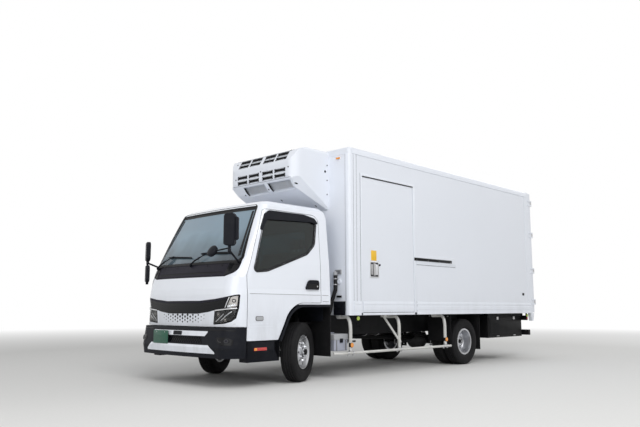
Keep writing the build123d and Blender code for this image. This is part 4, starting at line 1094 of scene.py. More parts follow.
def make_grille_details():
    """The grille's lip, two seams and the field of lozenge openings."""
    skin = Skin("cab_shell", "grille")
    piece = Piece("grille_details", skin.front)
    top = [(-0.83, 1.056), (-0.64, 1.031), (-0.35, 1.008), (0.35, 1.008), (0.64, 1.031),
           (0.83, 1.056)]
    piece.strip(top, 0.024, 0.0005, 0.005, "cowl")
    piece.strip([(x, z - 0.05) for x, z in top], 0.006, 0.0005, 0.002, "black_gloss")
    low = [(-0.49, 0.9), (-0.31, 0.88), (0.31, 0.88), (0.49, 0.9)]
    piece.strip(low, 0.006, 0.0005, 0.002, "black_gloss")
    for row in range(5):
        z = 0.852 - 0.021 * row
        for column in range(-4, 5):
            x = column * 0.108 + (0.054 if row % 2 else 0.0)
            size = 0.026 * (1 - (abs(x) / 0.56) ** 1.6) * (1 - 0.1 * row) if abs(x) < 0.56 else 0.0
            if size < 0.006:
                continue
            piece.lay([(x - size, z), (x, z - size * 0.85), (x + size, z), (x, z + size * 0.85)],
                      0.0003, 0.0008, "seal", 1.0)
    piece.done("root")


UPPER_LENS = [(0.812, 0.94), (0.868, 1.062), (0.944, 1.082), (0.934, 0.958), (0.88, 0.936)]
LOWER_LENS = [(0.614, 0.752), (0.636, 0.892), (0.928, 0.918), (0.908, 0.824), (0.872, 0.79),
              (0.803, 0.77)]
# centre, radius of the bowls behind the lower and the upper lens
BOWLS = [((0.685, 0.862), 0.025), ((0.80, 0.80), 0.026), ((0.905, 1.02), 0.026)]


def make_headlamps():
    """Dark backs, bowls and bright strips behind clear covers."""
    skin = Skin("headlamps", "cab_shell", "grille")
    piece = Piece("headlamp_units", skin.front)
    for flip in (1, -1):
        for outline, back in ((UPPER_LENS, "lamp_back"), (LOWER_LENS, "black_gloss")):
            outline = [(flip * x, z) for x, z in outline]
            piece.lay(outline, -0.0118, 0.0018, back, 0.03)
            piece.lay(outline, -0.0024, 0.0022, "lens", 0.03)
        for (x, z), radius in BOWLS:
            for size, rise, thick, finish in ((radius, -0.0098, 0.0036, "lamp_back"),
                                              (radius * 0.86, -0.0062, 0.0012, "black_gloss"),
                                              (radius * 0.45, -0.005, 0.0018, "lamp_back")):
                piece.lay(disc((flip * x, z), size), rise, thick, finish)
        for low, high, width in (((0.64, 0.773), (0.775, 0.868), 0.009),
                                 ((0.727, 0.788), (0.885, 0.895), 0.009),
                                 ((0.83, 0.955), (0.925, 0.975), 0.02)):
            piece.strip([(flip * low[0], low[1]), (flip * high[0], high[1])], width, -0.0075,
                        0.003, "bright")
        piece.strip([(flip * 0.626, 0.9065), (flip * 0.80, 0.922), (flip * 0.934, 0.935)], 0.013,
                    0.0004, 0.003, "bright")
        piece.strip([(flip * 0.802, 0.94), (flip * 0.858, 1.064)], 0.01, 0.0004, 0.003, "bright")
    piece.done("root", ["headlamps"])


def make_bumper_details():
    """Blank plate, intake mesh, fog lamps, tow cover and seams."""
    skin = Skin("front_bumper", "bumper_bars")
    piece = Piece("bumper_details", skin.front)
    sheet = front_sheet(-1.2662)
    piece.slab((-0.52, 0.492), (-0.19, 0.657), 0.008, 0.0018, "plate", sheet, 0.0006)
    piece.slab((-0.505, 0.507), (-0.205, 0.642), 0.006, 0.0026, "plate", sheet, 0.0006)
    for x in (-0.445, -0.265):
        piece.lathe([(0.0, 0.0), (0.007, 0.0), (0.007, 0.003), (0.0, 0.0036)], "steel",
                    front_sheet(-1.266) @ moved(x, 0.636, 0), 12)
    piece.box((-0.50, -1.265, 0.50), (-0.21, -1.235, 0.62), "black")
    for index in range(15):
        for lean in (-1, 1):
            x = -0.16 + 0.046 * index
            line = [(x - lean * 0.03, 0.519), (x + lean * 0.03, 0.586)]
            if all(-0.2 < u < 0.478 for u, _ in line):
                piece.strip(line, 0.006, 0.001, 0.005, "black_gloss")
    piece.lay(rounded(oblong((-0.09, 0.609), (0.078, 0.655)), 0.006), 0.0, 0.012, "black")
    recess = [(0.744, 0.594), (0.868, 0.597), (0.948, 0.566), (0.941, 0.504), (0.828, 0.508),
              (0.752, 0.54)]
    for outline in both(recess):
        piece.lay(rounded(outline, 0.015), 0.0006, 0.003, "black_gloss", 0.03)
    for flip in (1, -1):
        for size, rise, thick, finish in ((0.03, 0.0035, 0.006, "black"),
                                          (0.023, 0.0095, 0.002, "trim_dark"),
                                          (0.012, 0.0115, 0.002, "cowl")):
            piece.lay(disc((flip * 0.883, 0.553), size), rise, thick, finish)
        piece.strip([(flip * 0.765, 0.57), (flip * 0.785, 0.548), (flip * 0.825, 0.538)], 0.009,
                    0.0035, 0.003, "trim_dark")
        piece.strip([(flip * x, z) for x, z in ((0.60, 0.676), (0.80, 0.676), (0.95, 0.672))],
                    0.01, 0.0004, 0.003, "black_gloss")
        piece.strip([(flip * 0.72, 0.455), (flip * 0.93, 0.458)], 0.004, 0.0003, 0.001, "seal")
    piece.done("root")


def make_cab_sides():
    """Seals, dishes, grips, lamps and seams of the doors, with a grey line painted as the shade
    under their crease; steps, corners and arch liners, with black liners, boards and plates that
    are partly painted shade.
    """
    for side, name in SIDES:
        piece = Piece("door_seals_" + name,
                      Skin("cab_door_" + name, "door_glass_" + name).side(side))
        piece.strip(aft(rounded(WINDOW, WINDOW_ROUNDS)), 0.03, 0.0004, 0.004, "seal", closed=True)
        piece.cast = Skin("door_fittings_" + name, "cab_door_" + name).side(side)
        dish = aft([(0.02, 1.185), (0.23, 1.185), (0.23, 1.245), (0.05, 1.245)])
        piece.lay(rounded(dish, 0.015), 0.0003, 0.001, "black_gloss", 0.03)
        grip = aft([(0.07, 1.255), (0.235, 1.255), (0.235, 1.285), (0.085, 1.285)])
        piece.lay(rounded(grip, 0.01), 0.0003, 0.004, "black", 0.03)
        piece.lay(disc((along(0.21), 1.215), 0.011, 12), 0.001, 0.002, "steel")
        piece.cast = Skin("cab_door_" + name).side(side)
        # A thin grey line under the door's crease: painted shade.
        piece.strip(aft([(-0.93, 1.107), (-0.4, 1.104), (0.28, 1.101)]), 0.005, 0.0002, 0.0006,
                    "trim_grey")
        for end, z in ((-0.63, 0.748), (-0.54, 0.715), (-0.56, 0.566)):
            piece.strip(aft([(-0.93, z), (end, z)]), 0.004, 0.0002, 0.0006, "box_trim")
        for inset, rise, thick, finish in ((0.0, 0.0003, 0.006, "trim_grey"),
                                           (0.007, 0.0063, 0.003, "grey")):
            lamp = oblong((-0.835 + inset, 0.785 + inset), (-0.715 - inset, 0.84 - inset))
            piece.lay(rounded(aft(lamp), 0.018), rise, thick, finish, 0.02)
        piece.done("cab_door_" + name)
        trims = Piece("cab_side_marks_" + name)
        step = side_sheet(side, 0.985)
        trims.slab((-0.845, 0.432), (-0.645, 0.468), 0.008, 0.005, "red", step, 0.002)
        trims.slab((-0.843, 0.434), (-0.80, 0.466), 0.008, 0.006, "amber", step, 0.002)
        for z in (0.33, 0.345, 0.36):
            trims.box((side * 0.84, -0.93, z), (side * 0.983, -0.48, z + 0.004), "black")
        shell = Skin("cab_shell")
        trims.cast = shell.side(side)
        corner = [(0.896, -1.1045), (0.928, -1.0745), (0.928, -1.068), (0.896, -1.098)]
        trims.plate([(side * x, along(behind)) for x, behind in corner][::side], 0.034, "white",
                    moved(0, 0, 0.7145))
        trims.strip(aft([(0.32, 1.02), (0.44, 1.02)]), 0.004, 0.0003, 0.0008, "seal")
        # The crease's grey line of painted shade, going on behind the door.
        trims.strip(aft([(0.31, 1.101), (0.43, 1.1)]), 0.005, 0.0002, 0.0006, "trim_grey")
        # A black board on the step's side: partly painted shade that closes a light gap.
        trims.slab((-0.952, 0.302), (-0.444, 0.538), 0, 0.002, "black", side_sheet(side, 0.983))
        # Black arch liners: partly real liners, partly painted shade in the arch.
        middle = at(side * 0.7, 0, 0.62)
        bend = []
        for degree in range(12, 150, 6):
            line = Vector((0, math.cos(math.radians(degree)), math.sin(math.radians(degree))))
            spot = shell.tree.ray_cast(middle, line)[0]
            if spot is not None and spot.z < 1.2 and abs(spot.y - AXLE_Y) < 0.6:
                bend.append(spot - line * 0.004)
        for first, second in zip(bend, bend[1:]):
            line = (second - first).normalized()
            lean = turned(math.atan2(line.z, line.y), "X")
            tilt = Matrix.Translation((first + second) / 2) @ lean
            half = (second - first).length / 2 + 0.002
            trims.box((-0.24, -half, -0.0015), (0.24, half, 0.0015), "black", place=tilt)
        # Black plates low on the cab's back: partly painted shade under the cab.
        trims.box((side * 0.44, 0.425, 0.76), (side * 0.9, 0.431, 1.0), "black", 0.002)
        trims.box((side * 0.02, 0.425, 0.80), (side * 0.44, 0.431, 1.0), "black", 0.002)
        trims.done("root")


# head's centre (x, behind, height), width, height, depth, turn in degrees
MIRRORS = [
    ((0.935, -1.2, 1.857), 0.14, 0.388, 0.07, 30),
    ((-1.0342, -1.078, 1.713), 0.165, 0.267, 0.052, -25),
    ((-1.0342, -1.078, 1.406), 0.15, 0.236, 0.045, -25),
]


def make_mirror_details():
    """Mirror glasses, their bezels and the clamps on the stays."""
    piece = Piece("mirror_glasses")
    for centre, width, height, depth, turn in MIRRORS:
        head = placed(centre) @ turned(math.radians(turn), "Z")
        back = head @ moved(0, depth / 2, 0) @ turned(-math.pi / 2, "X")
        half = (width / 2 - 0.012, height / 2 - 0.014)
        piece.slab((-half[0], -half[1]), half, width / 4.2, 0.003, "seal", back, 0.001)
        half = (half[0] - 0.006, half[1] - 0.006)
        piece.slab((-half[0], -half[1]), half, width / 4.6, 0.0042, "mirror", back, 0.0006)
        foot = (head @ Vector((0, 0, z - height / 2)) for z in (-0.03, 0.01))
        piece.rod(*foot, 0.019, "black", round=0.003)
    for place in ((0.935, -1.2, 1.607), (-1.0342, -1.078, 1.555)):
        half = Vector((0, 0, 0.022))
        piece.rod(at(*place) - half, at(*place) + half, 0.02, "black", round=0.003)
    turn = placed((0.6, -1.19, 1.615)) @ turned(math.radians(60), "X")
    bowl = bmesh.new()
    bmesh.ops.create_uvsphere(bowl, u_segments=24, v_segments=12, radius=0.078,
                              matrix=moved(0, 0, 0.012) @ Matrix.Diagonal((1, 1, 0.42, 1)))
    piece.take(bowl, "black", True, turn)
    piece.lathe([(0.0, -0.0232), (0.055, -0.0232), (0.06, -0.024), (0.045, -0.030), (0.0, -0.034)],
                "mirror", turn, 32)
    piece.done("root")


# Cab inside

CAB_MIDDLE = at(0, -0.3, 1.45)
CAB_FLOOR = 0.78


def line_inside(piece, name, finish):
    """A lining on the faces of a CAD node that look to the middle of the cab."""
    bm = bmesh.new()
    bm.from_mesh(NODES[name].data)
    bmesh.ops.remove_doubles(bm, verts=bm.verts[:], dist=1e-5)
    bm.normal_update()
    outer = []
    for face in bm.faces:
        middle = face.calc_center_median()
        if middle.z < CAB_FLOOR or face.normal.dot((CAB_MIDDLE - middle).normalized()) < 0.25:
            outer.append(face)
    bmesh.ops.delete(bm, geom=outer, context="FACES")
    bm.normal_update()
    directions = {}
    for vert in bm.verts:
        vert.co += vert.normal * 0.0006
        directions[vert_key(vert)] = vert.normal.copy()
    thicken(bm, directions, 0.0024)
    piece.take(bm, finish)


def make_cab_lining():
    """Dark linings on the roof, pillars, back wall, floor and doors: real linings, their near-black
    colour partly painted shade for the cab's inside.
    """
    piece = Piece("cab_lining")
    line_inside(piece, "cab_shell", "lining")
    piece.box((-0.16, -0.72, 0.792), (0.16, -0.46, 0.93), "lining", 0.03)
    for x in (-0.62, -0.50, -0.36):
        piece.rod((x, -0.98, 1.0), (x, -0.88, 0.86), 0.008, "steel", 10)
        piece.box((x - 0.035, -0.89, 0.83), (x + 0.035, -0.875, 0.89), "seal", 0.006)
    piece.done("root")
    for side, name in SIDES:
        piece = Piece("door_lining_" + name)
        line_inside(piece, "cab_door_" + name, "lining")
        piece.box((side * 0.86, -0.55, 1.16), (side * 0.925, 0.12, 1.2), "trim_dark", 0.012)
        piece.pipe([(side * 0.915, -0.45, 1.2), (side * 0.875, -0.45, 1.23),
                    (side * 0.875, -0.25, 1.23), (side * 0.915, -0.25, 1.2)], 0.011, "trim_dark")
        piece.done("cab_door_" + name)


def make_dash_details():
    """Instrument hood, dials, vents, centre stack and the wheel's boss and levers."""
    piece = Piece("dash_details")
    piece.box((-0.70, -0.93, 1.42), (-0.26, -0.80, 1.485), "trim_dark", 0.025, 3)
    dial = placed((-0.48, -0.801, 1.42)) @ turned(-math.pi / 2 - 0.3, "X")
    for x in (-0.085, 0.085):
        spot = dial @ moved(x, 0, 0)
        piece.lathe([(0.0, 0.0), (0.06, 0.0), (0.064, 0.006), (0.06, 0.01), (0.057, 0.004),
                     (0.0, 0.004)], "steel", spot, 32)
        piece.box((-0.002, 0.0, 0.004), (0.002, 0.05, 0.0055), "amber", place=spot)
    for x in (-0.80, -0.16, 0.16, 0.80):
        for row in range(4):
            z = 1.345 + 0.018 * row
            piece.box((x - 0.055, -0.823 - row * 0.002, z), (x + 0.055, -0.79, z + 0.006),
                      "lining", 0.001)
    piece.box((-0.14, -0.86, 1.16), (0.14, -0.795, 1.32), "trim_grey", 0.012)
    for row in range(3):
        piece.box((-0.11, -0.80, 1.185 + 0.045 * row), (0.11, -0.79, 1.215 + 0.045 * row),
                  "black_gloss", 0.003)
    piece.box((0.30, -0.84, 1.20), (0.72, -0.792, 1.34), "trim_grey", 0.012)
    piece.box((0.45, -0.80, 1.315), (0.57, -0.786, 1.33), "lining", 0.004)
    wheel = placed((-0.48, -0.64, 1.42)) @ turned(math.radians(-38), "X")
    piece.lathe([(0.0, 0.018), (0.062, 0.018), (0.058, 0.034), (0.03, 0.04), (0.0, 0.04)],
                "trim_dark", wheel, 32)
    for flip in (1, -1):
        piece.rod(wheel @ Vector((flip * 0.03, 0, -0.06)), wheel @ Vector((flip * 0.17, 0, -0.05)),
                  0.007, "trim_dark", 12, round=0.002)
    piece.done("root")


def padded_form(low, high, crown, context):
    """A cushion's closed form between two corners, swelled by cloth pressure."""
    bm = block(low, high, min(high - low) * 0.28, 4)
    mesh = bpy.data.meshes.new("form")
    bm.to_mesh(mesh)
    bm.free()
    item = bpy.data.objects.new("form", mesh)
    context.scene.collection.objects.link(item)
    remesh = item.modifiers.new("even", "REMESH")
    remesh.mode = "VOXEL"
    remesh.voxel_size = 0.012
    even = bpy.data.meshes.new_from_object(item.evaluated_get(context.evaluated_depsgraph_get()))
    item.modifiers.clear()
    item.data = even
    rest = [vert.co.copy() for vert in even.vertices]
    press = item.modifiers.new("press", "CLOTH")
    press.settings.use_pressure = True
    press.settings.uniform_pressure_force = 4.0
    press.settings.effector_weights.gravity = 0.0
    for step in range(1, 13):
        context.scene.frame_set(step)
    swelled = bpy.data.meshes.new_from_object(item.evaluated_get(context.evaluated_depsgraph_get()))
    context.scene.frame_set(1)
    for vert, start in zip(swelled.vertices, rest):
        shift = vert.co - start
        if shift.length > crown:
            vert.co = start + shift.normalized() * crown
    bm = bmesh.new()
    bm.from_mesh(swelled)
    bpy.data.objects.remove(item)
    return bm


# name, low and high corner: x, behind, height; turn of the back in degrees
SEAT_PADS = [
    ("driver_cushion", (-0.79, -0.31, 1.04), (-0.28, 0.19, 1.20), 0),
    ("driver_back", (-0.785, 0.17, 1.23), (-0.285, 0.27, 1.72), 10),
    ("driver_rest", (-0.655, 0.185, 1.745), (-0.415, 0.255, 1.885), 10),
    ("bench_cushion", (-0.17, -0.31, 1.04), (0.79, 0.19, 1.20), 0),
    ("bench_back", (-0.165, 0.17, 1.23), (0.785, 0.27, 1.72), 10),
    ("bench_rest", (0.38, 0.185, 1.745), (0.62, 0.255, 1.885), 10),
]


def make_seats(context):
    """Swelled cushions, backs and head rests on their frames."""
    for name, low, high, turn in SEAT_PADS:
        bm = padded_form(at(*low), at(*high), 0.014, context)
        hinge = placed((0, 0.22, 1.2))
        piece = Piece("seat_" + name)
        piece.take(bm, "cloth", True, hinge @ turned(math.radians(-turn), "X") @ hinge.inverted())
        item = piece.done("root", ["seats"])
        rounder = item.modifiers.new("smooth", "SUBSURF")
        rounder.levels = 1
        rounder.render_levels = 1
    piece = Piece("seat_frames")
    for low, high in ((-0.76, -0.31), (-0.14, 0.76)):
        piece.box((low, -0.28, 1.0205), (high, 0.2, 1.045), "lining", 0.006)
        piece.box((low + 0.02, 0.19, 1.03), (high - 0.02, 0.235, 1.24), "lining", 0.01)
    for x in (-0.57, -0.50, 0.46, 0.54):
        piece.rod((x, 0.305, 1.68), (x, 0.315, 1.80), 0.006, "steel", 10)
    piece.done("root")


# Cooling unit

# low x, high x; behind and z of each row's mouth, behind of its back
SLOT_COLUMNS = [(-0.488, -0.285), (-0.236, -0.025), (0.06, 0.27), (0.318, 0.528)]
SLOT_ROWS = [(0.122, 3.07, 0.15), (0.097, 3.004, 0.125), (0.070, 2.832, 0.09), (0.070, 2.756, 0.09)]
LOUVRES = [(-0.4, 0.06), (0.13, 0.59)]
UNIT_SCREWS = [(-0.57, 3.059), (0.543, 3.111), (-0.539, 2.816), (0.0175, 2.868), (0.59, 2.857),
               (-0.444, 2.592), (0.095, 2.611), (0.64, 2.634), (0.10, 2.482), (0.573, 2.376)]


def make_unit_details():
    """Dark grilles in the slots, with dark sheets of painted shade behind and round them, louvre
    panels with painted shade on a wall, screws, joints and side catches.
    """
    skin = Skin("refrigeration_unit")
    piece = Piece("cooler_details", skin.front)
    for low, high in SLOT_COLUMNS:
        for behind, z, back in SLOT_ROWS:
            # The dark box that fills the slot behind the grille bars is painted shade.
            piece.box((low + 0.0015, behind, z - 0.0185),
                      (high - 0.0015, back - 0.0005, z + 0.0185), "seal")
            for part in range(1, 4):
                x = low + (high - low) * part / 4
                piece.box((x - 0.0015, behind - 0.004, z - 0.0185),
                          (x + 0.0015, back - 0.01, z + 0.0185), "black")
    for low, high in SLOT_COLUMNS:
        for _, z, back in SLOT_ROWS:
            # A black frame round each mouth, partly an insert, partly widening the slot's painted
            # shade.
            edge = oblong((low - 0.003, z - 0.0232), (high + 0.003, z + 0.0232))
            piece.strip(edge, 0.0075, 0.0003, 0.003, "black", closed=True)
            # Dark sheets on the slot's side walls, floor and ceiling: painted shade in the recess.
            foot, head = (skin.front(low - 0.006, z + up)[0].y - AXLE_Y for up in (-0.0195, 0.0195))
            wall = [(foot + 0.0005, z - 0.0195), (back, z - 0.0195), (back, z + 0.0195),
                    (head + 0.0005, z + 0.0195)]
            for x in (low + 0.0001, high - 0.0009):
                piece.plate(wall, 0.0008, "seal", side_sheet(1, x))
            for start, height in ((foot, z - 0.0199), (head, z + 0.0191)):
                piece.box((low, start + 0.0005, height), (high, back, height + 0.0008), "seal")
    floor = (Vector((0, 0.15, 2.69)), Vector((0, 0.23, 2.60)))
    # Outline of a dark sheet on the louvre recess's left wall: painted shade.
    painted_shade_wall = [(0.094, 2.688), (0.15, 2.688), (0.228, 2.60), (0.208, 2.58), (0.15, 2.62)]
    for low, high in LOUVRES:
        for step in range(7):
            spot = floor[0].lerp(floor[1], 0.08 + 0.14 * step)
            piece.box((low + 0.002, spot.y - 0.022, spot.z - 0.006),
                      (high - 0.002, spot.y - 0.002, spot.z - 0.003), "box_trim")
        piece.plate(painted_shade_wall, 0.0006, "seal", side_sheet(1, low + 0.0002))
        middle = floor[0].lerp(floor[1], 0.5)
        tilt = placed(middle) @ turned(-math.atan2(0.09, 0.08), "X")
        piece.box((low + 0.002, -0.058, -0.002), (high - 0.002, 0.058, 0.0005), "guard", place=tilt)
    for x, z in UNIT_SCREWS:
        piece.lay(disc((x, z), 0.0095, 10), 0.0003, 0.003, "black")
    for half, z in ((0.66, 2.715), (0.62, 3.108)):
        piece.strip([(-half, z), (half, z)], 0.003, 0.0002, 0.0008, "seal")
    for side in (1, -1):
        for behind, z, size in ((0.719, 2.96, 0.0095), (0.678, 2.866, 0.017),
                                (0.719, 2.741, 0.0095), (0.719, 2.536, 0.0095)):
            piece.lay(disc((along(behind), z), size, 12), 0.0003, 0.004, "black",
                      cast=skin.side(side))
    piece.box((-0.705, 0.742, 2.40), (0.705, 0.7545, 2.44), "unit_white", 0.003)
    piece.done("root")


def make_hose_fittings():
    """Connector, collars and clips of the hose on the nose wall."""
    piece = Piece("hose_fittings")
    behind = 0.7287
    piece.rod((0.85, behind, 1.385), (0.85, behind, 1.43), 0.031, "grey", 20, round=0.004)
    piece.rod((0.85, behind, 1.43), (0.85, behind, 1.445), 0.02, "steel", 6)
    for z in (1.25, 1.33):
        piece.rod((0.85, behind, z), (0.85, behind, z + 0.012), 0.0285, "steel", 24, round=0.002)
        piece.box((0.875, behind, z + 0.001), (0.897, 0.7549, z + 0.011), "steel", 0.001)
    for index in range(26):
        z = 1.165 + 0.008 * index
        piece.lathe([(0.0255, -0.002), (0.0272, 0.0), (0.0255, 0.002)], "hose",
                    placed((0.85, behind, z)), 20)
    piece.done("root")


# Load space

def make_load_space():
    """Floor ribs, kick plates, lashing rails, lamp and the fans of the evaporator."""
    piece = Piece("load_space_details")
    start, end = 0.84, 5.995
    for index in range(12):
        x = -0.935 + 0.17 * index
        piece.box((x - 0.045, start, 0.9363), (x + 0.045, end, 0.9395), "floor_metal")
    for side in (1, -1):
        spans = [(0.84, 5.995)] if side < 0 else [(0.84, 1.015), (2.235, 5.995)]
        for near, far in spans:
            wall = side * 1.0228
            piece.box((wall - side * 0.003, near, 0.94), (wall, far, 1.18), "alloy")
            for z in (1.5, 2.2):
                piece.box((wall - side * 0.008, near, z), (wall, far, z + 0.09), "alloy", 0.003)
                piece.box((wall - side * 0.0085, near + 0.02, z + 0.035),
                          (wall - side * 0.007, far - 0.02, z + 0.055), "seal")
    for behind in (2.2, 3.6, 5.0):
        piece.box((-0.09, behind, 3.072), (0.09, behind + 0.32, 3.0947), "grey", 0.006)
        piece.box((-0.08, behind + 0.01, 3.066), (0.08, behind + 0.31, 3.073), "unit_white", 0.003)
    for x in (-0.4, 0.0, 0.4):
        fan = axis_place((x, 1.195, 2.84), (0, 0.8944, -0.4472), (1, 0, 0))
        for radius in (0.035, 0.06, 0.085, 0.108):
            piece.lathe([(radius, 0.004), (radius + 0.003, 0.007), (radius, 0.01),
                         (radius - 0.003, 0.007)], "steel", fan, 32)
        piece.lathe([(0.0, 0.001), (0.118, 0.001), (0.118, 0.006), (0.112, 0.006), (0.112, 0.002),
                     (0.0, 0.002)], "seal", fan, 40)
        for index in range(4):
            spoke = fan @ turned(math.pi * index / 4, "Z")
            piece.box((-0.115, -0.002, 0.006), (0.115, 0.002, 0.009), "steel", place=spoke)
    piece.done("root")


# Rear end

def make_rear_doors():
    """Gaskets, bolts, handles and stays on the rear doors."""
    for side, name in SIDES:
        piece = Piece("rear_door_details_" + name)
        sheet = rear_sheet(6.165)
        if side < 0:
            sheet = sheet @ Matrix.Scale(-1, 4, (1, 0, 0))
        piece.slab((0.006, 0.856), (0.03, 3.162), 0, 0.004, "seal", sheet, 0.001)
        for low, high in (((0.03, 0.856), (1.06, 0.874)), ((0.03, 3.144), (1.06, 3.162)),
                          ((1.045, 0.874), (1.06, 3.144))):
            piece.slab(low, high, 0, 0.003, "box_trim", sheet, 0.001)
        for z in (1.05, 1.65, 2.35, 2.98):
            for x in (0.86, 0.93, 1.0):
                add_nut(piece, "steel", sheet @ moved(x, z, 0.006), 0.0075, 0.005)
        for x in (0.11, 0.64):
            for z in (0.93, 1.5, 2.3, 3.09):
                for shift in (-0.022, 0.022):
                    add_nut(piece, "steel", sheet @ moved(x + shift, z, 0.012), 0.0055, 0.003)
            for z in (0.868, 3.15):
                piece.slab((x - 0.035, z - 0.010), (x + 0.035, z + 0.010), 0.004, 0.022, "steel",
                           sheet, 0.003)
            piece.slab((x + 0.16, 1.242), (x + 0.3, 1.288), 0.018, 0.012, "black",
                       sheet @ moved(0, 0, 0.018), 0.004)
            piece.slab((x - 0.03, 1.23), (x + 0.05, 1.30), 0.01, 0.03, "steel", sheet, 0.005)
            piece.slab((x + 0.20, 1.30), (x + 0.25, 1.36), 0.008, 0.012, "steel", sheet, 0.003)
        piece.slab((0.24, 1.80), (0.50, 1.98), 0.01, 0.002, "box_trim", sheet, 0.0008)
        piece.slab((0.40, 0.92), (0.56, 0.965), 0.006, 0.006, "red", sheet, 0.002)
        piece.done("rear_door_" + name)


def make_rear_end():
    """Lamps, blank plate, corner feet, side markers and reflectors."""
    piece = Piece("rear_lamps_and_plate")
    sheet = rear_sheet(6.062)
    for flip in (1, -1):
        for low, finish in ((0.768, "marker"), (0.843, "amber"), (0.918, "red")):
            edge = sorted((flip * low, flip * (low + 0.07)))
            piece.slab((edge[0], 0.71), (edge[1], 0.78), 0.008, 0.008, finish, sheet, 0.004)
        outer = side_sheet(flip, 1.0)
        piece.slab((6.012, 0.715), (6.052, 0.775), 0.008, 0.006, "red", outer, 0.002)
        foot = [(6.0795, 0.836), (6.0795, 0.69), (6.10, 0.69), (6.148, 0.836)]
        piece.plate(foot, 0.05, "box_trim", side_sheet(flip, 1.046), 0.003)
        for behind, z in ((0.97, 0.795), (5.93, 0.795)):
            place = axis_place((flip * 1.035, behind, z), (flip, 0, 0))
            piece.lathe([(0.0, 0.0), (0.034, 0.0), (0.034, 0.014), (0.03, 0.018), (0.0, 0.018)],
                        "chassis", place, 24)
            piece.lathe([(0.0, 0.018), (0.029, 0.018), (0.027, 0.026), (0.0, 0.032)], "marker",
                        place, 24)
            piece.box((flip * 1.035 - 0.012, behind - 0.01, z),
                      (flip * 1.035 + 0.012, behind + 0.01, 0.8358), "chassis")
        bar = sorted((flip * 0.70, flip * 0.96))
        piece.slab((bar[0], 0.452), (bar[1], 0.488), 0, 0.004, "red", rear_sheet(6.14), 0.001)
        for x in (0.12, 0.3):
            piece.plate(disc((flip * (x + 0.3), 0.47), 0.012, 12), 0.004, "steel",
                        rear_sheet(6.14), 0.001)
    piece.slab((0.2, 0.555), (0.53, 0.72), 0.008, 0.0016, "plate", rear_sheet(6.0606), 0.0005)
    piece.slab((0.215, 0.57), (0.515, 0.705), 0.006, 0.0026, "plate", rear_sheet(6.0606), 0.0005)
    piece.slab((0.33, 0.724), (0.40, 0.744), 0.005, 0.03, "chassis", rear_sheet(6.0606), 0.004)
    piece.done("root")


# Under the box

def make_guards():
    """Bent tube guards with their feet, clamps and reflectors."""
    for side, name in SIDES:
        piece = Piece("guard_" + name)
        x = side * 1.03
        rail = [(side * 0.975, 0.555), (side * 1.0, 0.60), (x, 0.66), (x, 0.8), (x, 2.0), (x, 3.2),
                (x, 3.298)]
        piece.pipe([(u, behind, 0.33) for u, behind in rail], 0.0185, "guard", 8)
        for behind in (0.835, 1.925, 3.138):
            post = [(x, behind, 0.33), (x, behind, 0.45), (x, behind, 0.82),
                    (side * 0.84, behind, 0.809), (side * 0.79, behind, 0.809)]
            piece.pipe(post, 0.0243, "guard", 8)
            piece.box((side * 0.83 - 0.04, behind - 0.035, 0.806),
                      (side * 0.83 + 0.04, behind + 0.035, 0.836), "guard", 0.004)
            for shift in (-0.05, 0.05):
                piece.rod((x, behind + shift - 0.016, 0.33), (x, behind + shift + 0.016, 0.33),
                          0.0222, "steel", 20, round=0.002)
                piece.box((x - 0.008, behind + shift - 0.01, 0.297),
                          (x + 0.008, behind + shift + 0.01, 0.31), "steel", 0.002)
            piece.rod((x, behind, 0.352), (x, behind, 0.378), 0.0265, "steel", 20, round=0.002)
        brace = 1.925
        piece.rod((x, brace, 0.46), (side * 0.93, brace - 0.235, 0.812), 0.0165, "guard", 16)
        piece.rod((x, brace - 0.012, 0.445), (x, brace + 0.012, 0.445), 0.031, "guard", 20,
                  round=0.002)
        piece.box((side * 0.93 - 0.03, brace - 0.27, 0.80),
                  (side * 0.93 + 0.03, brace - 0.2, 0.836), "guard", 0.004)
        piece.box((x - 0.022, brace + 0.07, 0.318), (x + 0.022, brace + 0.15, 0.352), "guard",
                  0.004)
        for behind in (0.835, 3.138):
            place = axis_place((side * 1.0535, behind, 0.437), (side, 0, 0))
            piece.lathe([(0.0, 0.0), (0.034, 0.0), (0.034, 0.006), (0.0, 0.006)], "seal", place, 24)
            piece.lathe([(0.0, 0.006), (0.031, 0.006), (0.029, 0.011), (0.0, 0.013)], "amber",
                        place, 24)
            piece.rod((x, behind, 0.41), (x, behind, 0.464), 0.0258, "seal", 20)
        piece.rod((x, 3.296, 0.33), (x, 3.306, 0.33), 0.0183, "seal", 20, round=0.003)
        piece.done("root", ["side_guards"])


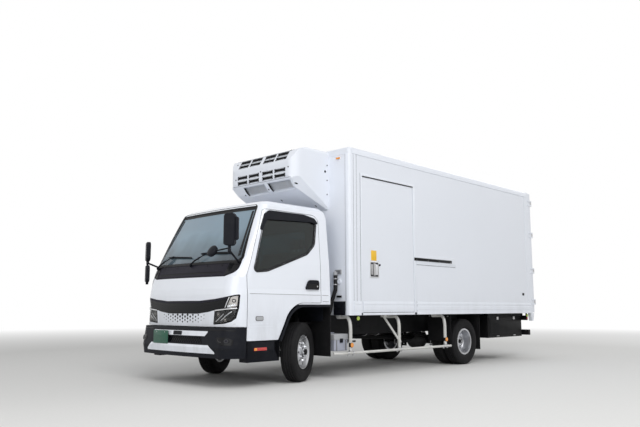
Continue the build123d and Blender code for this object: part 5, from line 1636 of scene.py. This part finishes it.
def make_side_boxes():
    """Lids, straps, latches and caps of the battery box, tank, silencer and stowage box, and dark
    blocks of painted shade above the stowage box.
    """
    piece = Piece("side_box_details")
    piece.box((0.694, 0.589, 0.505), (0.956, 0.871, 0.586), "grey", 0.012, 3)
    piece.box((0.953, 0.70, 0.47), (0.963, 0.76, 0.525), "black", 0.003)
    for behind in (0.64, 0.82):
        piece.box((0.951, behind - 0.008, 0.365), (0.954, behind + 0.008, 0.505), "trim_grey",
                  0.001)
    for behind in (1.12, 1.58):
        piece.box((-0.9045, behind - 0.02, 0.40), (-0.9005, behind + 0.02, 0.58), "steel", 0.001)
        piece.box((-0.83, behind - 0.02, 0.6505), (-0.50, behind + 0.02, 0.6545), "steel", 0.001)
    cap = axis_place((-0.9, 1.35, 0.56), (-1, 0, 0))
    piece.lathe([(0.0, 0.0), (0.05, 0.0), (0.05, 0.018), (0.044, 0.024), (0.0, 0.024)], "seal",
                cap, 32)
    piece.box((-0.93, 1.345, 0.555), (-0.922, 1.355, 0.60), "seal", 0.002)
    for behind in (1.956, 2.1, 2.5, 2.636):
        piece.lathe([(0.1405, -0.008), (0.143, -0.006), (0.143, 0.006), (0.1405, 0.008)], "steel",
                    axis_place((-0.65, behind, 0.5), (0, 1, 0)), 40)
    # Two dark blocks close the light gap between the stowage box and the box floor: painted shade.
    piece.box((0.60, 4.72, 0.775), (0.64, 6.055, 0.8355), "chassis")
    piece.box((0.86, 4.76, 0.773), (0.885, 6.055, 0.8355), "chassis")
    lid = side_sheet(1, 0.9)
    piece.slab((4.75, 0.43), (5.96, 0.765), 0.02, 0.008, "chassis", lid, 0.004)
    piece.slab((4.79, 0.47), (5.92, 0.725), 0.03, 0.012, "chassis", lid, 0.004)
    for behind in (5.02, 5.64):
        piece.slab((behind, 0.72), (behind + 0.06, 0.775), 0.008, 0.018, "steel", lid, 0.004)
        piece.rod((0.905, behind, 0.428), (0.905, behind + 0.08, 0.428), 0.008, "steel", 12)
    for side in (1, -1):
        for behind in (3.3372, 4.2502):
            for x in (0.60, 0.72, 0.84, 0.96):
                piece.box((side * x - 0.012, behind - 0.009, 0.79),
                          (side * x + 0.012, behind + 0.009, 0.81), "steel", 0.002)
    piece.done("root")


def make_chassis_details():
    """U-bolts, dampers, brake chambers, the air tank, pipes and bolts."""
    piece = Piece("running_gear_details")
    for flip in (1, -1):
        for centre, low, high in ((0.0, 0.296, 0.42), (3.795, 0.30, 0.482)):
            for shift in (-0.075, 0.075):
                for x in (0.347, 0.433):
                    piece.rod((flip * x, centre + shift, low), (flip * x, centre + shift, high),
                              0.008, "steel", 12)
                    piece.rod((flip * x, centre + shift, low - 0.01),
                              (flip * x, centre + shift, low), 0.014, "steel", 6)
                piece.rod((flip * 0.347, centre + shift, high),
                          (flip * 0.433, centre + shift, high), 0.008, "steel", 12)
            piece.box((flip * 0.39 - 0.058, centre - 0.095, low),
                      (flip * 0.39 + 0.058, centre + 0.095, low + 0.012), "cast", 0.003)
        for ends in (((0.33, -0.12, 0.33), (0.35, -0.34, 0.62)),
                     ((0.31, 3.68, 0.36), (0.35, 3.42, 0.66))):
            low, high = (at(flip * x, behind, z) for x, behind, z in ends)
            piece.rod(low, low.lerp(high, 0.55), 0.028, "chassis", 20, round=0.004)
            piece.rod(low.lerp(high, 0.5), high, 0.022, "steel", 20, round=0.003)
        can = axis_place((flip * 0.24, 3.92, 0.42), (0, 1, 0))
        piece.lathe([(0.0, -0.02), (0.05, -0.02), (0.062, 0.0), (0.07, 0.045), (0.074, 0.05),
                     (0.07, 0.055), (0.068, 0.12), (0.05, 0.14), (0.0, 0.14)], "chassis", can, 32)
        piece.pipe([(flip * 0.24, 4.06, 0.43), (flip * 0.26, 4.2, 0.46), (flip * 0.34, 4.25, 0.56),
                    (flip * 0.405, 4.3, 0.60)], 0.008, "hose")
        for height in (0.60, 0.63, 0.66):
            piece.pipe([(flip * 0.41, 0.75, height), (flip * 0.41, 2.2, height + 0.006),
                        (flip * 0.41, 3.4, height)], 0.005, "chassis", 3)
    tank = axis_place((0.19, 2.25, 0.60), (0, 1, 0))
    piece.lathe([(0.0, -0.28), (0.06, -0.272), (0.098, -0.24), (0.1, -0.2), (0.1, 0.2),
                 (0.098, 0.24), (0.06, 0.272), (0.0, 0.28)], "chassis", tank, 32)
    for behind in (2.1, 2.4):
        piece.lathe([(0.1005, -0.012), (0.1035, -0.01), (0.1035, 0.01), (0.1005, 0.012)], "steel",
                    axis_place((0.19, behind, 0.60), (0, 1, 0)), 32)
        piece.box((0.19, behind - 0.012, 0.68), (0.4175, behind + 0.012, 0.70), "chassis")
    for behind in (0.7, 1.7, 2.7, 4.4, 5.3):
        for flip in (1, -1):
            for z in (0.66, 0.70):
                for shift in (-0.03, 0.03):
                    place = axis_place((flip * 0.425, behind + shift, z), (flip, 0, 0))
                    add_nut(piece, "chassis", place, 0.009, 0.006)
    piece.lathe([(0.0, -0.05), (0.058, -0.05), (0.058, 0.05), (0.0, 0.05)], "cast",
                axis_place((0, 1.7, 0.6 - 0.14 * 1.36 / 3.395), (0, 1, -0.041)), 24)
    piece.done("root")


# Settings

class TruckLooks(bpy.types.PropertyGroup):
    """Colours a user would change."""
    paint_colour: bpy.props.FloatVectorProperty(
        name="Paint", description="Colour of the cab and the box", subtype="COLOR", size=3,
        min=0.0, max=1.0, default=(0.785, 0.82, 0.89))
    plastic_colour: bpy.props.FloatVectorProperty(
        name="Mouldings", description="Colour of the bumper, steps and arch trims", subtype="COLOR",
        size=3, min=0.0, max=1.0, default=(0.007, 0.008, 0.012))
    plate_colour: bpy.props.FloatVectorProperty(
        name="Plates", description="Colour of the blank number plates", subtype="COLOR", size=3,
        min=0.0, max=1.0, default=(0.006, 0.085, 0.048))


class TruckSizes(bpy.types.PropertyGroup):
    """Sizes of details that a user would change."""
    cut_depth: bpy.props.FloatProperty(
        name="Tread cuts", description="Depth of the cross cuts in the tread", unit="LENGTH",
        default=0.007)
    wheel_nuts: bpy.props.IntProperty(
        name="Wheel nuts", description="Nuts on each wheel", default=6)


class TruckStage(bpy.types.PropertyGroup):
    """Camera and light."""
    camera_place: bpy.props.FloatVectorProperty(
        name="Camera place", description="Where the camera stands", subtype="TRANSLATION",
        unit="LENGTH", size=3, default=(7.067, -8.5125, 0.943))
    camera_yaw: bpy.props.FloatProperty(
        name="Yaw", description="Camera's turn from +Y towards -X", subtype="ANGLE",
        default=math.radians(43.914))
    camera_pitch: bpy.props.FloatProperty(
        name="Pitch", description="Camera's upward tilt", subtype="ANGLE",
        default=math.radians(8.102))
    camera_roll: bpy.props.FloatProperty(
        name="Roll", description="Camera's roll", subtype="ANGLE", default=0.0)
    lens: bpy.props.FloatProperty(
        name="Lens", description="Focal length on a 36 mm sensor", default=37.12)
    sky_light: bpy.props.FloatProperty(
        name="Sky light", description="Strength of the light from all round", default=0.5)
    key_power: bpy.props.FloatProperty(
        name="Key lamp", description="Power of the main lamp", subtype="POWER", unit="POWER",
        default=1000.0)


# Operators

class TRUCK_OT_stage(bpy.types.Operator):
    """Set up the camera, the lamps and the floor"""
    bl_idname = "truck.stage"
    bl_label = "Stage"

    def execute(self, context):
        make_stage(context)
        return {"FINISHED"}


class TRUCK_OT_nodes(bpy.types.Operator):
    """Give every CAD node its finish"""
    bl_idname = "truck.nodes"
    bl_label = "Node finishes"

    def execute(self, context):
        dress_nodes()
        return {"FINISHED"}


class TRUCK_OT_tyres(bpy.types.Operator):
    """Put ribbed tyres in place of the plain ones"""
    bl_idname = "truck.tyres"
    bl_label = "Tyres"

    def execute(self, context):
        make_tyres(context)
        return {"FINISHED"}


class TRUCK_OT_wheel_details(bpy.types.Operator):
    """Add wheel nuts, hub caps and valves"""
    bl_idname = "truck.wheel_details"
    bl_label = "Wheel details"

    def execute(self, context):
        make_wheel_details(context)
        return {"FINISHED"}


class TRUCK_OT_box_trim(bpy.types.Operator):
    """Add the cargo box's rails, seams, rivets and marker lamps"""
    bl_idname = "truck.box_trim"
    bl_label = "Box trim"

    def execute(self, context):
        make_box_trim()
        return {"FINISHED"}


class TRUCK_OT_side_door(bpy.types.Operator):
    """Add the side door's frame, latch and slide rail"""
    bl_idname = "truck.side_door"
    bl_label = "Side door"

    def execute(self, context):
        make_side_door()
        return {"FINISHED"}


class TRUCK_OT_screen_trim(bpy.types.Operator):
    """Add the windscreen's seal and the cowl's ends and slats"""
    bl_idname = "truck.screen_trim"
    bl_label = "Windscreen trim"

    def execute(self, context):
        make_screen_trim()
        return {"FINISHED"}


class TRUCK_OT_wipers(bpy.types.Operator):
    """Add the two wipers"""
    bl_idname = "truck.wipers"
    bl_label = "Wipers"

    def execute(self, context):
        make_wipers()
        return {"FINISHED"}


class TRUCK_OT_grille(bpy.types.Operator):
    """Add the grille's lip and lozenges"""
    bl_idname = "truck.grille"
    bl_label = "Grille details"

    def execute(self, context):
        make_grille_details()
        return {"FINISHED"}


class TRUCK_OT_headlamps(bpy.types.Operator):
    """Put full headlamps in place of the plain lenses"""
    bl_idname = "truck.headlamps"
    bl_label = "Headlamps"

    def execute(self, context):
        make_headlamps()
        return {"FINISHED"}


class TRUCK_OT_bumper(bpy.types.Operator):
    """Add the blank plate, the mesh and the fog lamps"""
    bl_idname = "truck.bumper"
    bl_label = "Bumper details"

    def execute(self, context):
        make_bumper_details()
        return {"FINISHED"}


class TRUCK_OT_cab_sides(bpy.types.Operator):
    """Add the window seals, handles, side lamps and reflectors"""
    bl_idname = "truck.cab_sides"
    bl_label = "Cab sides"

    def execute(self, context):
        make_cab_sides()
        return {"FINISHED"}


class TRUCK_OT_mirrors(bpy.types.Operator):
    """Add the mirror glasses and clamps"""
    bl_idname = "truck.mirrors"
    bl_label = "Mirrors"

    def execute(self, context):
        make_mirror_details()
        return {"FINISHED"}


class TRUCK_OT_cab_lining(bpy.types.Operator):
    """Line the cab and its doors, and add the pedals"""
    bl_idname = "truck.cab_lining"
    bl_label = "Cab lining"

    def execute(self, context):
        make_cab_lining()
        return {"FINISHED"}


class TRUCK_OT_dash(bpy.types.Operator):
    """Add the dials, vents and levers"""
    bl_idname = "truck.dash"
    bl_label = "Dashboard details"

    def execute(self, context):
        make_dash_details()
        return {"FINISHED"}


class TRUCK_OT_seats(bpy.types.Operator):
    """Put padded seats in place of the plain ones"""
    bl_idname = "truck.seats"
    bl_label = "Seats"

    def execute(self, context):
        make_seats(context)
        return {"FINISHED"}


class TRUCK_OT_unit(bpy.types.Operator):
    """Add the cooling unit's grilles, louvres and screws"""
    bl_idname = "truck.unit"
    bl_label = "Cooling unit details"

    def execute(self, context):
        make_unit_details()
        return {"FINISHED"}


class TRUCK_OT_hose(bpy.types.Operator):
    """Add the hose's connector and clips"""
    bl_idname = "truck.hose"
    bl_label = "Hose fittings"

    def execute(self, context):
        make_hose_fittings()
        return {"FINISHED"}


class TRUCK_OT_load_space(bpy.types.Operator):
    """Fit out the load space"""
    bl_idname = "truck.load_space"
    bl_label = "Load space"

    def execute(self, context):
        make_load_space()
        return {"FINISHED"}


class TRUCK_OT_rear_doors(bpy.types.Operator):
    """Add gaskets, bolts and handles to the rear doors"""
    bl_idname = "truck.rear_doors"
    bl_label = "Rear door details"

    def execute(self, context):
        make_rear_doors()
        return {"FINISHED"}


class TRUCK_OT_rear_end(bpy.types.Operator):
    """Add the rear lamps, the blank plate and the markers"""
    bl_idname = "truck.rear_end"
    bl_label = "Rear end"

    def execute(self, context):
        make_rear_end()
        return {"FINISHED"}


class TRUCK_OT_guards(bpy.types.Operator):
    """Bend the side guards, with their clamps and reflectors"""
    bl_idname = "truck.guards"
    bl_label = "Side guards"

    def execute(self, context):
        make_guards()
        return {"FINISHED"}


class TRUCK_OT_side_boxes(bpy.types.Operator):
    """Add lids, straps and caps under the box"""
    bl_idname = "truck.side_boxes"
    bl_label = "Side boxes"

    def execute(self, context):
        make_side_boxes()
        return {"FINISHED"}


class TRUCK_OT_chassis(bpy.types.Operator):
    """Add the running gear's details"""
    bl_idname = "truck.chassis"
    bl_label = "Chassis details"

    def execute(self, context):
        make_chassis_details()
        return {"FINISHED"}


OPERATORS = [TRUCK_OT_stage, TRUCK_OT_nodes, TRUCK_OT_tyres, TRUCK_OT_wheel_details,
             TRUCK_OT_box_trim, TRUCK_OT_side_door, TRUCK_OT_screen_trim, TRUCK_OT_wipers,
             TRUCK_OT_grille, TRUCK_OT_headlamps, TRUCK_OT_bumper, TRUCK_OT_cab_sides,
             TRUCK_OT_mirrors, TRUCK_OT_cab_lining, TRUCK_OT_dash, TRUCK_OT_seats, TRUCK_OT_unit,
             TRUCK_OT_hose, TRUCK_OT_load_space, TRUCK_OT_rear_doors, TRUCK_OT_rear_end,
             TRUCK_OT_guards, TRUCK_OT_side_boxes, TRUCK_OT_chassis]


class TRUCK_PT_panel(bpy.types.Panel):
    """Lists the truck's steps and settings"""
    bl_idname = "TRUCK_PT_panel"
    bl_label = "Refrigerated truck"
    bl_space_type = "VIEW_3D"
    bl_region_type = "UI"
    bl_category = "Truck"

    def draw(self, context):
        scene = context.scene
        for group in (scene.truck_looks, scene.truck_sizes, scene.truck_stage):
            for name in group.bl_rna.properties.keys():
                if name not in ("rna_type", "name"):
                    self.layout.prop(group, name)
        for operator in OPERATORS:
            self.layout.operator(operator.bl_idname)


CLASSES = [TruckLooks, TruckSizes, TruckStage, *OPERATORS, TRUCK_PT_panel]


def register():
    for item in CLASSES:
        bpy.utils.register_class(item)
    bpy.types.Scene.truck_looks = bpy.props.PointerProperty(type=TruckLooks)
    bpy.types.Scene.truck_sizes = bpy.props.PointerProperty(type=TruckSizes)
    bpy.types.Scene.truck_stage = bpy.props.PointerProperty(type=TruckStage)


def unregister():
    del bpy.types.Scene.truck_looks
    del bpy.types.Scene.truck_sizes
    del bpy.types.Scene.truck_stage
    for item in reversed(CLASSES):
        bpy.utils.unregister_class(item)


def main():
    register()
    for operator in OPERATORS:
        group, name = operator.bl_idname.split(".")
        getattr(getattr(bpy.ops, group), name)()


if __name__ == "__main__":
    main()
